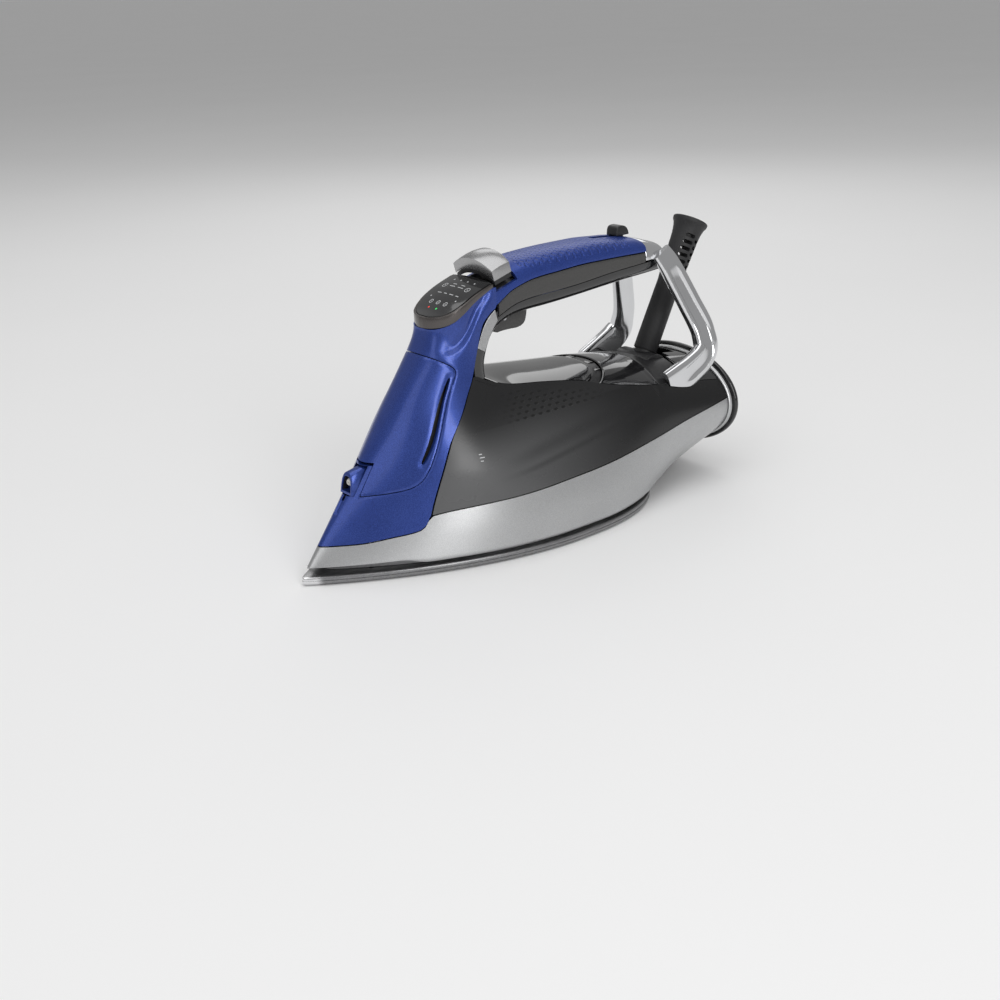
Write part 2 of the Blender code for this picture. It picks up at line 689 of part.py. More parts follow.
def make_deck(f):
    inside = (190, 0, 20)
    shell("deck_front", deck_point(DECK_FRONT_X, DECK_SPLIT_X), 9, 12, 1.8, f["gloss_black"], inside)
    channel = deck_point(DECK_SPLIT_X + GAP, DECK_SPLIT_X + CHANNEL_WIDTH)

    def sunk(s, t):
        x, y, z = channel(s, t)
        return x, y * SUNK_SHARE, z - 0.9
    shell("deck_channel", sunk, 2, 12, 1.4, f["black"], inside)
    shell("deck_middle", deck_point(DECK_SPLIT_X + CHANNEL_WIDTH + GAP, HOUSING_FRONT_X), 6, 12, 1.8,
          f["gloss_black"], inside)
    housing = deck_point(HOUSING_FRONT_X + GAP, HOUSING_REAR_X - GAP)

    def sunk_housing(s, t):
        x, y, z = housing(s, t)
        return x, y * SUNK_SHARE, z - 0.7
    wide = DRUM_HALF_LENGTH + 2 * GAP
    floor = shell("guard_housing", sunk_housing, 4, 12, 1.8, f["black"], inside)
    combine(floor, cutter(block("cut_housing", (241.2, -wide, 50), (280, wide, 90), f["black"])))
    rear = shell("deck_rear", deck_point(HOUSING_REAR_X, HEEL_X - 3.0), 4, 12, 1.8, f["gloss_black"], inside)
    combine(rear, cutter(block("cut_drum_room", (250, -wide, 50), (262.5, wide, 90), f["black"])))
    combine(rear, cutter(block("cut_deck_rear", (250, -GUARD_RADIUS - 0.9, 50), (273.5, GUARD_RADIUS + 0.9, 90), f["black"])))


# ---------------------------------------------------------------- handle

# the handle's top line, the seam below its blue cover, and the top of its underside
handle_top = curve([(HANDLE_FRONT_X, 146.3), (136, 149.4), (150, 151.6), (178, 152.9), (201, 153.0), (216, 152.1),
                    (232, 150.7), (HANDLE_END_X, 149.3), (250, 146.4), (259, 142.6)])
cover_edge = curve([(HANDLE_FRONT_X, 130.8), (135.6, 137.6), (151.5, 141.2), (168, 142.2), (190, 143.2),
                    (213, 143.0), (HANDLE_END_X, 142.4)])
strip_edge = curve([(HANDLE_FRONT_X, 124.0), (139, 129.6), (150, 130.9), (179, 132.1), (214, 135.0),
                    (UNDER_END_X, 136.9)])


def grip_half_width(x):
    return HANDLE_HALF_WIDTH - 0.9 * smooth((x - 225) / 35)


def grip_arch(x, t, low):
    """Upper half of the grip's section: t runs from one side over the top to the other."""
    angle = math.pi * t
    wide = grip_half_width(x)
    y = -wide * math.copysign(abs(math.cos(angle)) ** 0.72, math.cos(angle))
    return x, y, low + (handle_top(x) - low) * math.sin(angle) ** 0.80


def cover_point(s, t):
    x = lerp(HANDLE_FRONT_X, HANDLE_END_X, s)
    return grip_arch(x, t, cover_edge(x) + GAP)


def strip_point(side):
    def point(s, t):
        x = lerp(HANDLE_FRONT_X + 1.5, HANDLE_END_X, s)
        z = lerp(strip_edge(x) + 0.1, cover_edge(x) - 0.6, t)
        return x, side * (grip_half_width(x) - 0.5), z
    return point


# the handle opening's upper and front outline, from the rear end to the deck
under_line = [(UNDER_END_X, 129.2), (245, 128.6), (220, 127.6), (186, 125.0), (163, 123.6), (148, 123.3),
              (137, 122.4), (129.0, 120.0), (124.0, 117.2), (120.4, 112.6), (118.0, 107.0), (116.2, 101.0),
              (116.2, 96.6), (116.9, 93.0)]


def under_rings():
    """Centre, outward direction (away from the opening) and flange height at each station."""
    rings = []
    for i, (x, z) in enumerate(under_line):
        before = under_line[max(i - 1, 0)]
        after = under_line[min(i + 1, len(under_line) - 1)]
        along = Vector((after[0] - before[0], 0, after[1] - before[1])).normalized()
        out = Vector((along.z, 0, -along.x))
        depth = lerp(8.0, 9.4, smooth((139 - x) / 18))
        rings.append((Vector((x, 0, z)), out, depth))
    return rings


def under_section(centre, out, depth, half):
    """A thick U: two flanges and a rounded floor, as one closed ring of points."""
    wall = 1.8
    outer = [(-half, depth), (-half, 4.0), (-half + 1.6, 1.2), (-half + 4.6, 0.0), (half - 4.6, 0.0),
             (half - 1.6, 1.2), (half, 4.0), (half, depth)]
    inner = [(half - wall, depth), (half - wall, 4.6), (half - 3.0, 2.6), (half - 5.2, wall), (-half + 5.2, wall),
             (-half + 3.0, 2.6), (-half + wall, 4.6), (-half + wall, depth)]
    return [centre + Vector((0, y, 0)) + out * d for y, d in outer + inner]


def make_handle(f):
    cover = shell("handle_cover", cover_point, 16, 12, WALL, f["blue"], (190, 0, 120))
    front = SLIDER_X - SLIDER_TRAVEL - SLIDER_NECK - GAP
    rear = SLIDER_X + SLIDER_NECK + GAP
    combine(cover, cutter(block("cut_slot", (front, -2.3, 140), (rear, 2.3, 158), f["blue"])))
    combine(cover, cutter(button_seat(f)))
    for name, side in (("left", 1), ("right", -1)):
        shell(f"handle_strip_{name}", strip_point(side), 14, 2, 1.6, f["dark_grey"], (190, 0, 136))
    sections = []
    for centre, out, depth in under_rings():
        sections.append(under_section(centre, out, depth, grip_half_width(centre.x) - 0.7))
    under = loft("handle_under", sections, f["gloss_black"])
    xs = [HANDLE_FRONT_X + 0.4, 131, 139, 150, 165, 179, 196, 214, 233, UNDER_END_X + 2]
    above = [(x, strip_edge(x) - GAP) for x in xs]
    combine(under, cutter(prism("cut_under_top", above + [(xs[-1], 160), (xs[0], 160)], -40, 40, f["black"])))
    x, z = TRIGGER_PIN
    mouth = block("cut_trigger", (x - 3.6, -TRIGGER_HALF_WIDTH - GAP, 108), (x + 25, TRIGGER_HALF_WIDTH + GAP, 129),
                  f["black"])
    combine(under, cutter(mouth))
    hole = rod("cut_trigger_pin", (x, -TRIGGER_PIN_HALF - GAP, z), (x, TRIGGER_PIN_HALF + GAP, z), 1.2 + GAP,
               f["black"], 10)
    combine(under, cutter(hole))


def button_seat(f):
    """The space over the button's collar, taken out of the grip cover."""
    low = -BUTTON_TRAVEL - 2.6 - GAP
    rear = BUTTON_LENGTH / 2 + 0.3 * BUTTON_CROWN + GAP
    corners = [(-14, low), (rear, low), (rear, 22), (-14, 22)]
    return loft("cut_button_seat", [[tilted(x, y, z) for x, z in corners] for y in (-24, 24)], f["blue"])


def make_clips(f):
    """Silver inlays on both flanks at the front of the handle opening."""
    for name, side in (("left", 1), ("right", -1)):
        seat = HANDLE_HALF_WIDTH - 0.7
        outer = [(122.8, 128.2), (118.3, 123.4), (113.4, 115.8), (109.2, 109.2)]
        inner = [(113.6, 107.3), (116.6, 113.4), (119.9, 118.8), (123.2, 122.6)]
        low = side * (seat + GAP)
        high = side * (seat + 1.1)
        prism(f"grip_clip_{name}", outer + inner, min(low, high), max(low, high), f["silver"])


# ---------------------------------------------------------------- panel and button

def panel_half_width(x):
    """Plan of the panel: a round front, then the handle's own width."""
    run = (x - ridge(RIDGE_BEND_Z + RIDGE_BEND)) / 19.0
    tip = math.sqrt(max(1 - (1 - min(max(run, 0), 1)) ** 2.3, 0))
    return (HANDLE_HALF_WIDTH - 0.2) * tip


def panel_plate(name, inset, foot, high, crown, material):
    """A plate with the panel's outline, from a lower line to a height over the panel's slope."""
    start = ridge(RIDGE_BEND_Z + RIDGE_BEND) + inset
    rings = []
    for share in (0, 0.012, 0.05, 0.11, 0.2, 0.32, 0.48, 0.66, 0.84, 1.0):
        x = lerp(start + 0.05, PANEL_REAR_X - inset * 0.2, share)
        wide = max(panel_half_width(x - inset * 0.55) - inset, 0.6)
        ring = []
        for k in range(9):
            y = wide * (1 - 2 * k / 8)
            ring.append((x, y, panel_top(x) + high + crown * (1 - (y / (HANDLE_HALF_WIDTH + 1)) ** 2)))
        for k in range(3):
            ring.append((x, wide * (k - 1), foot(x)))
        rings.append(ring)
    return loft(name, rings, material, 40)


def make_panel(f):
    rim = panel_plate("panel_rim", 0.0, panel_foot, 0.0, 1.2, f["dark_grey"])
    recess = cutter(panel_plate("cut_glass", 1.2, lambda x: panel_top(x) - 0.9, 4.0, 3.0, f["black"]))
    combine(rim, recess)
    panel_plate("panel_glass", 1.5, lambda x: panel_top(x) - 0.6, 0.35, 1.4, f["gloss_black"])
    board = [(100, panel_foot(100) - 2.6), (117, panel_foot(117) - 2.6), (117, panel_foot(117) - 1.2),
             (100, panel_foot(100) - 1.2)]
    prism("control_board", board, -9, 9, f["board"])


def tilted(x, y, z):
    """A point given along the button's own slope, from the button's middle."""
    angle = math.radians(BUTTON_TILT)
    return (BUTTON_X + x * math.cos(angle) - z * math.sin(angle), y,
            BUTTON_Z + x * math.sin(angle) + z * math.cos(angle))


def button_rings(half_length, wide, low, high, crown):
    rings = []
    for k in range(13):
        y = wide * math.sin(math.pi * (k / 12 - 0.5))
        arch = crown * (1 - (abs(y) / wide) ** 2.2)
        ring = [tilted(-half_length, y, low + arch * 0.86), tilted(half_length, y, low + arch * 0.86),
                tilted(half_length + arch * 0.3, y, high + arch * 0.9), tilted(0, y, high + arch + 0.5),
                tilted(-half_length, y, high + arch)]
        rings.append(ring)
    return rings


def make_button(f):
    """Steam boost button, its plunger and pump. It travels square to its own slope."""
    half_length = BUTTON_LENGTH / 2
    button = loft("boost_button", button_rings(half_length, BUTTON_HALF_WIDTH, 0.0, BUTTON_HEIGHT, BUTTON_CROWN),
                  f["silver"])
    round_edges(button, 0.5, 1, 40)
    low = -BUTTON_TRAVEL - 2.6
    collar = loft("button_collar", button_rings(half_length - 0.2, BUTTON_HALF_WIDTH - 0.6, low,
                                                -BUTTON_TRAVEL - 0.9, BUTTON_CROWN * 0.9), f["black"])
    bore = rod("cut_plunger", tilted(0, 0, -12), tilted(0, 0, 12), 2.2 + GAP, f["black"], 14)
    combine(collar, cutter(bore))
    rod("boost_plunger", tilted(0, 0, -9.0), tilted(0, 0, BUTTON_CROWN * 0.86 - GAP), 2.2, f["white"], 14)
    pump = rod("boost_pump", tilted(0, 0, -19.0), tilted(0, 0, -7.0), 4.6, f["white"], 16)
    well = rod("cut_pump", tilted(0, 0, -12.5), tilted(0, 0, -5.0), 2.2 + GAP, f["white"], 14)
    combine(pump, cutter(well))
    pipe("pump_tube", [(126, 9, 129.5), (119.5, 9, 123), (113.6, 9, 113), (110.2, 9, 102), (109.4, 9, 93)], 1.6,
         f["clear"], 8)


def make_trigger(f):
    x, z = TRIGGER_PIN
    outline = [(x - 2.6, z + 2.4), (x - 3.0, z - 1.0), (x - 2.4, 112.2), (x + 4.5, 113.2), (x + 19.5, 112.6),
               (x + 21.9, 121.4), (x + 21.0, z + 1.4)]
    trigger = prism("steam_trigger", outline, -TRIGGER_HALF_WIDTH, TRIGGER_HALF_WIDTH, f["dark_grey"])
    bore = rod("cut_pin", (x, -20, z), (x, 20, z), 1.2 + GAP, f["steel"], 12)
    combine(trigger, cutter(bore))
    pivot(trigger, (x, 0, z))
    rod("trigger_pin", (x, -TRIGGER_PIN_HALF, z), (x, TRIGGER_PIN_HALF, z), 1.2, f["steel"], 10)
    block("trigger_switch", (x + 10, -5, 130.2), (x + 22, 5, 137.0), f["black"])


def make_slider(f):
    """Steam slider: a tab on the grip, a neck through the slot, and a carriage under the cover."""
    low = handle_top(SLIDER_X) + 0.6
    half = SLIDER_LENGTH / 2
    outline = [(SLIDER_X - half, low), (SLIDER_X - half + 0.5, low + 4.6), (SLIDER_X - half + 2.8, low + 5.8),
               (SLIDER_X + 1.5, low + 5.6), (SLIDER_X + half - 1, low + 3.4), (SLIDER_X + half, low)]
    tab = prism("steam_slider", outline, -SLIDER_HALF_WIDTH, SLIDER_HALF_WIDTH, f["black"])
    neck = block("add_neck", (SLIDER_X - SLIDER_NECK, -1.9, low - 5.5), (SLIDER_X + SLIDER_NECK, 1.9, low + 1), f["black"])
    carriage = block("add_carriage", (SLIDER_X - 5.5, -5, low - 6.5), (SLIDER_X + 5.5, 5, low - 5), f["black"])
    combine(tab, cutter(neck), "UNION")
    combine(tab, cutter(carriage), "UNION")
    pivot(tab, (SLIDER_X, 0, low))
    block("slider_switch", (SLIDER_X - 27, -4.5, 138.0), (SLIDER_X + 5.6, 4.5, 142.0), f["black"])


# ---------------------------------------------------------------- inside the tank

def make_inside(f):
    """Water and electric parts between the insulating floor and the tank's roof."""
    start = Vector((70, 0, 84))
    down = Vector((0.89, 0, -0.456))
    turned("filler_throat", [(7.4, 0), (9.0, 0), (9.0, 16), (7.4, 16)], start, down, f["smoke"], 20)
    top = FLOOR_Z + 2.0 + GAP
    pump = rod("water_pump", (132, 0, top), (132, 0, top + 17), 9.0, f["white"], 18)
    round_edges(pump, 1.0, 1)
    pipe("spray_tube", [(51.5, 0, 46), (64, 4, 43), (84, 11, 41), (104, 12.5, 41), (122, 5, 42)], 1.5, f["clear"], 8)
    block("power_board", (176, -21, top), (230, 21, top + 1.6), f["board"])
    block("tilt_switch", (206, -16, top + 1.6 + GAP), (218, -4, top + 10), f["black"])
    block("terminal_block", (236, -12, top), (262, 12, top + 11), f["white"])


# ---------------------------------------------------------------- heel, bracket and guard

def oval_ring(x, half_width_, half_height, count=32):
    ring = []
    for k in range(count):
        angle = 2 * math.pi * k / count
        ring.append((x, half_width_ * math.cos(angle), HEEL_CENTRE_Z + half_height * math.sin(angle)))
    return ring


def oval_band(name, stations, material):
    """A closed band through (x, growth over the body's rear oval) stations."""
    rings = [oval_ring(x, HEEL_HALF_WIDTH + g, HEEL_HALF_HEIGHT + g) for x, g in stations]
    return loft(name, rings, material, closed=True)


def make_heel(f):
    front = HEEL_X - 3.0 + GAP
    oval_band("heel_collar", [(front, 0.9), (HEEL_X - GAP, 1.4), (HEEL_X - GAP, -6.0), (front, -6.0)], f["silver"])
    rear = HEEL_X + HEEL_PLATE_THICK
    oval_band("heel_rim", [(HEEL_X, HEEL_RIM - 0.8), (HEEL_X + 0.9, HEEL_RIM), (rear - 0.9, HEEL_RIM),
                           (rear, HEEL_RIM - 0.9), (rear, -0.4), (HEEL_X, -0.4)], f["gloss_black"])
    rings = [oval_ring(HEEL_X, HEEL_HALF_WIDTH - 0.4 - GAP, HEEL_HALF_HEIGHT - 0.4 - GAP),
             oval_ring(rear - 1.2, HEEL_HALF_WIDTH - 0.4 - GAP, HEEL_HALF_HEIGHT - 0.4 - GAP)]
    loft("heel_plate", rings, f["black"])


def body_envelope(name, grow, start, end, f):
    """The body's rear as a solid, grown outwards: flanks up to the deck's edge, and the deck over them."""
    rings = []
    for x in np.linspace(start, end, 14):
        edge = deck_edge(x)
        low = HEEL_CENTRE_Z - 6
        up = [(half_width(x, lerp(low, edge, k / 9)) + grow, lerp(low, edge, k / 9)) for k in range(10)]
        wide = up[-1][0]
        rise = deck_top(x) - edge
        over = [(wide * c, edge + GAP + grow + rise * (1 - abs(c) ** 2.4)) for c in (0.92, 0.75, 0.5, 0.25)]
        right = up + over
        ring = [(x, y, z) for y, z in right] + [(x, -y, z) for y, z in reversed(right)]
        rings.append(ring)
    return loft(name, rings, f["black"])


# centre line of one bracket leg, with its width and thickness at each point
leg_path = [((248.5, 18.6, 141.0), 13.0, 4.6), ((252.5, 20.6, 134.6), 14.4, 5.2), ((257.0, 22.8, 126.0), 15.2, 5.6),
            ((264.0, 27.6, 110.0), 15.6, 6.2), ((270.4, 33.4, 92.6), 16.6, 7.2), ((271.0, 36.0, 83.4), 17.8, 7.8),
            ((265.4, 37.4, 76.6), 19.0, 7.8), ((256.4, 37.2, 71.6), 19.4, 7.6), ((246.4, 36.4, 67.6), 19.4, 7.4),
            ((238.0, 35.6, 64.6), 19.0, 7.0)]


def leg(name, side, f):
    rings = []
    for i, (centre, width, thick) in enumerate(leg_path):
        before = Vector(leg_path[max(i - 1, 0)][0])
        after = Vector(leg_path[min(i + 1, len(leg_path) - 1)][0])
        along = (after - before).normalized()
        across = along.cross(Vector((0, 1, 0))).normalized()
        through = along.cross(across)
        ring = []
        for k in range(12):
            angle = 2 * math.pi * (k + 0.5) / 12
            a = math.copysign(abs(math.cos(angle)) ** 0.6, math.cos(angle))
            b = math.copysign(abs(math.sin(angle)) ** 0.6, math.sin(angle))
            p = Vector(centre) + across * (a * width / 2) + through * (b * thick / 2)
            ring.append((p.x, side * p.y, p.z))
        rings.append(ring)
    return loft(name, rings, f["chrome"], 50)


def make_bracket(f):
    """The grip's chrome rear cap with two legs out and down to the body's shoulders, as one piece."""
    rings = []
    stations = [(HANDLE_END_X + GAP, 0.0, 137.4), (244, 0.0, 137.4), (UNDER_END_X + 0.2, 0.0, 137.4),
                (UNDER_END_X + GAP + 0.2, 0.0, 129.6), (257.0, 0.8, 129.8), (259.4, 2.4, 131.0), (260.6, 5.0, 133.0)]
    for x, shrink, low in stations:
        high = handle_top(x) - shrink * 0.8
        wide = grip_half_width(x) - shrink
        ring = []
        for k in range(15):
            angle = math.pi * k / 14
            y = -wide * math.copysign(abs(math.cos(angle)) ** 0.72, math.cos(angle))
            ring.append((x, y, low + (high - low) * math.sin(angle) ** 0.80))
        rings.append(ring)
    bracket = loft("rear_bracket", rings, f["chrome"], 50)
    for name, side in (("left", 1), ("right", -1)):
        combine(bracket, cutter(leg(f"add_leg_{name}", side, f)), "UNION")
    combine(bracket, cutter(body_envelope("cut_body", 0.5, 215, HEEL_X - 2, f)))


def guard_axis():
    lean = math.radians(GUARD_LEAN)
    return Vector((math.sin(lean), 0, math.cos(lean)))


def make_guard(f):
    """The cord's bend relief: a tube from the drum, ribs with see-through slots, a belled mouth."""
    base = Vector((GUARD_PIVOT[0], 0, GUARD_PIVOT[1]))
    axis = guard_axis()
    tube = 56.0
    shoulder = DRUM_RADIUS + 0.6
    outer = [(GUARD_BORE, 5.0), (6.0, 5.0), (6.0, shoulder), (GUARD_RADIUS, shoulder), (GUARD_RADIUS - 0.2, tube),
             (7.7, tube + 8), (8.4, GUARD_LENGTH - 12), (9.2, GUARD_LENGTH - 6),
             (GUARD_MOUTH_RADIUS, GUARD_LENGTH - 1.6), (GUARD_MOUTH_RADIUS, GUARD_LENGTH)]
    profile = outer + [(GUARD_MOUTH_RADIUS - 1.6, GUARD_LENGTH), (6.2, GUARD_LENGTH - 5),
                       (GUARD_BORE + 0.8, GUARD_LENGTH - 14), (GUARD_BORE, tube)]
    guard = turned("cord_guard", profile, base, axis, f["black"], 20)
    for k in range(6):
        at = base + axis * (tube + 5.4 + 4.0 * k)
        slot = rod(f"cut_guard_{k}", at + Vector((0, -14, 0)), at + Vector((0, 14, 0)), 1.1, f["black"], 6)
        combine(guard, cutter(slot))
    pivot(guard, base)

    end = Vector((0, DRUM_HALF_LENGTH, 0))
    drum = rod("guard_drum", base - end, base + end, DRUM_RADIUS, f["black"], 24)
    combine(drum, cutter(rod("cut_drum", base - axis * 30, base + axis * 30, 6.0 + GAP, f["black"], 20)))
    pivot(drum, base)

    low = (base.x - 14.5, -DRUM_HALF_LENGTH - 2.5, base.z - 19)
    high = (base.x + 14.5, DRUM_HALF_LENGTH + 2.5, base.z - 4)
    cradle = block("guard_cradle", low, high, f["dark_grey"])
    room = Vector((0, DRUM_HALF_LENGTH + GAP, 0))
    combine(cradle, cutter(rod("cut_cradle", base - room, base + room, DRUM_RADIUS + GAP, f["black"], 24)))
    combine(cradle, cutter(rod("cut_cable", base - axis * 40, base + axis * 40, 6.0, f["black"], 16)))


def overall_length():
    lean = math.radians(GUARD_LEAN)
    mouth = GUARD_PIVOT[0] + math.sin(lean) * GUARD_LENGTH + math.cos(lean) * GUARD_MOUTH_RADIUS
    return max(HEEL_X + HEEL_PLATE_THICK, mouth)


def build():
    for old in list(bpy.data.objects):
        bpy.data.objects.remove(old)
    bpy.context.scene.collection.objects.link(bpy.data.objects.new("iron", None))
    f = make_finishes()
    make_soleplate(f)
    make_heater(f)
    make_chassis(f)
    make_skirt(f)
    make_front(f)
    make_spray(f)
    make_tank(f)
    make_deck(f)
    make_handle(f)
    make_clips(f)
    make_panel(f)
    make_button(f)
    make_trigger(f)
    make_slider(f)
    make_inside(f)
    make_heel(f)
    make_bracket(f)
    make_guard(f)
    bpy.data.objects["iron"].location.x = -overall_length() / 2 * MM


build()
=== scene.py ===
import json
import math

import bmesh
import bpy
import numpy as np
from mathutils import Matrix, Vector


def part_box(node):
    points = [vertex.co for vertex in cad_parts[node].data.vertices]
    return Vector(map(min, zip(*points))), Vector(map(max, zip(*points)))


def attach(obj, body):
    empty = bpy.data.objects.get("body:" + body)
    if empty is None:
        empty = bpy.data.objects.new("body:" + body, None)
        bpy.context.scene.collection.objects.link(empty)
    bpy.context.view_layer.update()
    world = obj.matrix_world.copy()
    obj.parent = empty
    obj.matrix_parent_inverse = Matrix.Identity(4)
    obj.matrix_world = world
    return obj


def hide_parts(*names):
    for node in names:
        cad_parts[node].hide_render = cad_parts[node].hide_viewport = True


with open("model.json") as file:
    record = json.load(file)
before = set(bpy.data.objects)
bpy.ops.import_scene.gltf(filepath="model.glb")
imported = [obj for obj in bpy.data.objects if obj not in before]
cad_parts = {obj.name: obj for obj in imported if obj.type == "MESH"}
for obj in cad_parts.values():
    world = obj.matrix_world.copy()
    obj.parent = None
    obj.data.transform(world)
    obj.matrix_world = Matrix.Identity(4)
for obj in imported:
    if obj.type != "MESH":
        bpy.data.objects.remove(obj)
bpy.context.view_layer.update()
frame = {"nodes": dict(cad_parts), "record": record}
for startup in ("Cube", "Light", "Camera"):
    if startup in bpy.data.objects:
        bpy.data.objects.remove(bpy.data.objects[startup])
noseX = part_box("soleplate")[0].x   # every x below is in millimetres behind the nose

bodyForm = {
    "soleLength": 239.0, "soleWidth": 116.0, "skirtBottom": 6.6, "noseLift": 2.2,
    "ridgeFoot": 3.4, "ridgeSlope": 0.765, "ridgeBendZ": 108.0, "ridgeBend": 14.0, "ridgeBow": 0.33,
    "heelX": 284.0, "heelZ": 44.8, "heelHalfWidth": 46.5, "heelHalfHeight": 27.5,
    "gripHalfWidth": 17.8, "gripFrontX": 123.6, "gripEndX": 237.5, "underEndX": 253.0,
}


# ---- numbers and curves

def curve(points):
    # a smooth line through the points that never swings past them
    xs = np.array([p[0] for p in points], float)
    ys = np.array([p[1] for p in points], float)
    steps = np.diff(xs)
    slopes = np.diff(ys) / steps
    inner = [2 * a * b / (a + b) if a * b > 0 else 0.0 for a, b in zip(slopes, slopes[1:])]
    ends = np.array([slopes[0], *inner, slopes[-1]])

    def value(v):
        v = min(max(float(v), xs[0]), xs[-1])
        i = min(max(int(np.searchsorted(xs, v)) - 1, 0), len(steps) - 1)
        h = steps[i]
        t = (v - xs[i]) / h
        start = ys[i] * (1 + 2 * t) * (1 - t) ** 2 + ends[i] * h * t * (1 - t) ** 2
        end = ys[i + 1] * t * t * (3 - 2 * t) + ends[i + 1] * h * t * t * (t - 1)
        return start + end

    return value


def lerp(a, b, t):
    return a + (b - a) * t


def smooth(t):
    t = min(max(t, 0.0), 1.0)
    return t * t * (3 - 2 * t)


def softened(points, rounds=2, closed=False):
    # cuts the corners of a line of points, so that it runs as a curve
    points = [tuple(p) for p in points]
    for _ in range(rounds):
        cut = [] if closed else [points[0]]
        pairs = zip(points, points[1:] + points[:1]) if closed else zip(points, points[1:])
        for a, b in pairs:
            cut.append(tuple(lerp(m, n, 0.25) for m, n in zip(a, b)))
            cut.append(tuple(lerp(m, n, 0.75) for m, n in zip(a, b)))
        if not closed:
            cut.append(points[-1])
        points = cut
    return points


def lineDistance(line):
    # distance in the side view from a point to a line of points
    a = np.array(line[:-1], float)
    b = np.array(line[1:], float)
    d = b - a
    long = (d * d).sum(1)

    def distance(x, z):
        t = np.clip(((x - a[:, 0]) * d[:, 0] + (z - a[:, 1]) * d[:, 1]) / long, 0, 1)
        return float(np.hypot(a[:, 0] + d[:, 0] * t - x, a[:, 1] + d[:, 1] * t - z).min())

    return distance


# ---- the body's form

soleHalf = bodyForm["soleWidth"] / 2
gripHalf = bodyForm["gripHalfWidth"]
skirtLow = bodyForm["skirtBottom"]
noseLow = skirtLow + bodyForm["noseLift"]
heelX = bodyForm["heelX"]
heelZ = bodyForm["heelZ"]
shellRear = heelX - 3.0   # skirt, tank and deck end here, inside the heel's collar

flank = curve([(skirtLow, 0.98 * soleHalf), (20, 0.97 * soleHalf), (36, 0.924 * soleHalf), (50, 48.6), (62, 42),
               (72, 35), (81, 28.5), (90, 23.5), (100, 20.8), (112, 19.2), (128, gripHalf + 0.4),
               (150, gripHalf - 0.8)])
noseSpan = curve([(skirtLow, 147), (36, 115), (60, 78), (90, 40), (110, 27), (126, 22)])
nosePower = curve([(skirtLow, 1.85), (60, 2.0), (126, 2.3)])
noseBluff = curve([(skirtLow, 1.0), (36, 0.95), (60, 0.85), (90, 0.62), (126, 0.52)])
keel = curve([(165, -14), (205, -6), (225, 0), (243, 6), (262, 12), (heelX, heelZ - bodyForm["heelHalfHeight"])])
keelPower = curve([(165, 3.6), (225, 3.0), (heelX, 2.0)])
crest = curve([(165, 104), (205, 93), (225, 86), (250, 79), (heelX, heelZ + bodyForm["heelHalfHeight"])])
blueEdge = curve([(31, 61.8), (40, 65.2), (67.7, 78.8), (84.6, 93), (97, 102), (109, 107), (123, 112.6),
                  (127.8, 117.9), (130.8, 122.4), (142.4, 123.3)])
skirtTop = curve([(10, 19.0), (28, 19.6), (42, 21.6), (54.9, 23.8), (59.3, 26.7), (61.8, 31.0), (84, 33.6),
                  (107, 34.8), (134, 36.2), (160, 37.0), (217, 41), (253, 46.3), (heelX, 50.8)])
skirtBottom = curve([(0, noseLow), (45, noseLow), (58, skirtLow), (205, skirtLow), (225, 8.6),
                     (243, 12.5), (262, 16.0), (heelX, 19.0)])
deckEdge = curve([(104, 96.5), (112, 92.5), (126, 88.0), (148, 84.9), (174, 80.6), (190, 76.0), (207, 72.2),
                  (225, 68.9), (240, 66.8), (262, 63.5), (heelX, 60.0)])
deckTop = curve([(104, 98.0), (118, 91.0), (126, 89.7), (148, 87.9), (174, 85.4), (190, 84.0), (207, 82.2),
                 (225, 79.6), (250, 76.8), (heelX, 72.3)])
panelTop = curve([(82, 126.5), (90.6, 128.9), (95.9, 131.5), (101.7, 134.8), (109.2, 138.4), (120.5, 142.4)])
panelFoot = curve([(82, 121.8), (90.5, 124.2), (95.5, 126.4), (101.3, 130.2), (109, 135.2), (121, 140.9)])
handleTop = curve([(123.6, 146.3), (136, 149.4), (150, 151.6), (178, 152.9), (201, 153.0), (216, 152.1),
                   (232, 150.7), (237.5, 149.3), (250, 146.4), (259, 142.6)])
coverEdge = curve([(123.6, 130.8), (135.6, 137.6), (151.5, 141.2), (168, 142.2), (190, 143.2), (213, 143.0),
                   (237.5, 142.4)])
stripEdge = curve([(123.6, 124.0), (139, 129.6), (150, 130.9), (179, 132.1), (214, 135.0), (253, 136.9)])


def ridgeX(z):
    # the nose's ridge: a straight slope that bends forward under the panel
    f = bodyForm
    straight = f["ridgeFoot"] + f["ridgeSlope"] * (min(z, f["ridgeBendZ"]) - skirtLow - f["noseLift"])
    past = min(max(z - f["ridgeBendZ"], 0), f["ridgeBend"])
    return straight + f["ridgeSlope"] * past - f["ridgeBow"] / f["ridgeBend"] * past * past


def halfWidth(x, z):
    run = max(x - ridgeX(z), 0)
    run = math.sqrt(run * run + 5 * run)
    nose = (1 - (1 - min(run / noseSpan(z), 1)) ** nosePower(z)) ** noseBluff(z)
    if z < heelZ:
        depth = (heelZ - z) / (heelZ - keel(x))
        power = keelPower(x)
    else:
        depth = (z - heelZ) / (crest(x) - heelZ)
        power = 2.0
    oval = bodyForm["heelHalfWidth"] * max(1 - min(depth, 1) ** power, 0) ** (1 / power)
    wide = flank(z)
    return nose * lerp(wide, min(wide, oval) if x > 225 else oval, smooth((x - 165) / 85))


def soleHalfWidth(x):
    widest = 0.63 * bodyForm["soleLength"]
    if x < widest:
        run = math.sqrt(x * x + 5 * x)
        return soleHalf * (1 - (1 - min(run / widest, 1)) ** 1.85)
    share = min((x - widest) / (bodyForm["soleLength"] - widest), 1)
    return soleHalf * math.sqrt(max(1 - share ** 2.6, 0))


def gripHalfWidth(x):
    return gripHalf - 0.9 * smooth((x - 225) / 35)


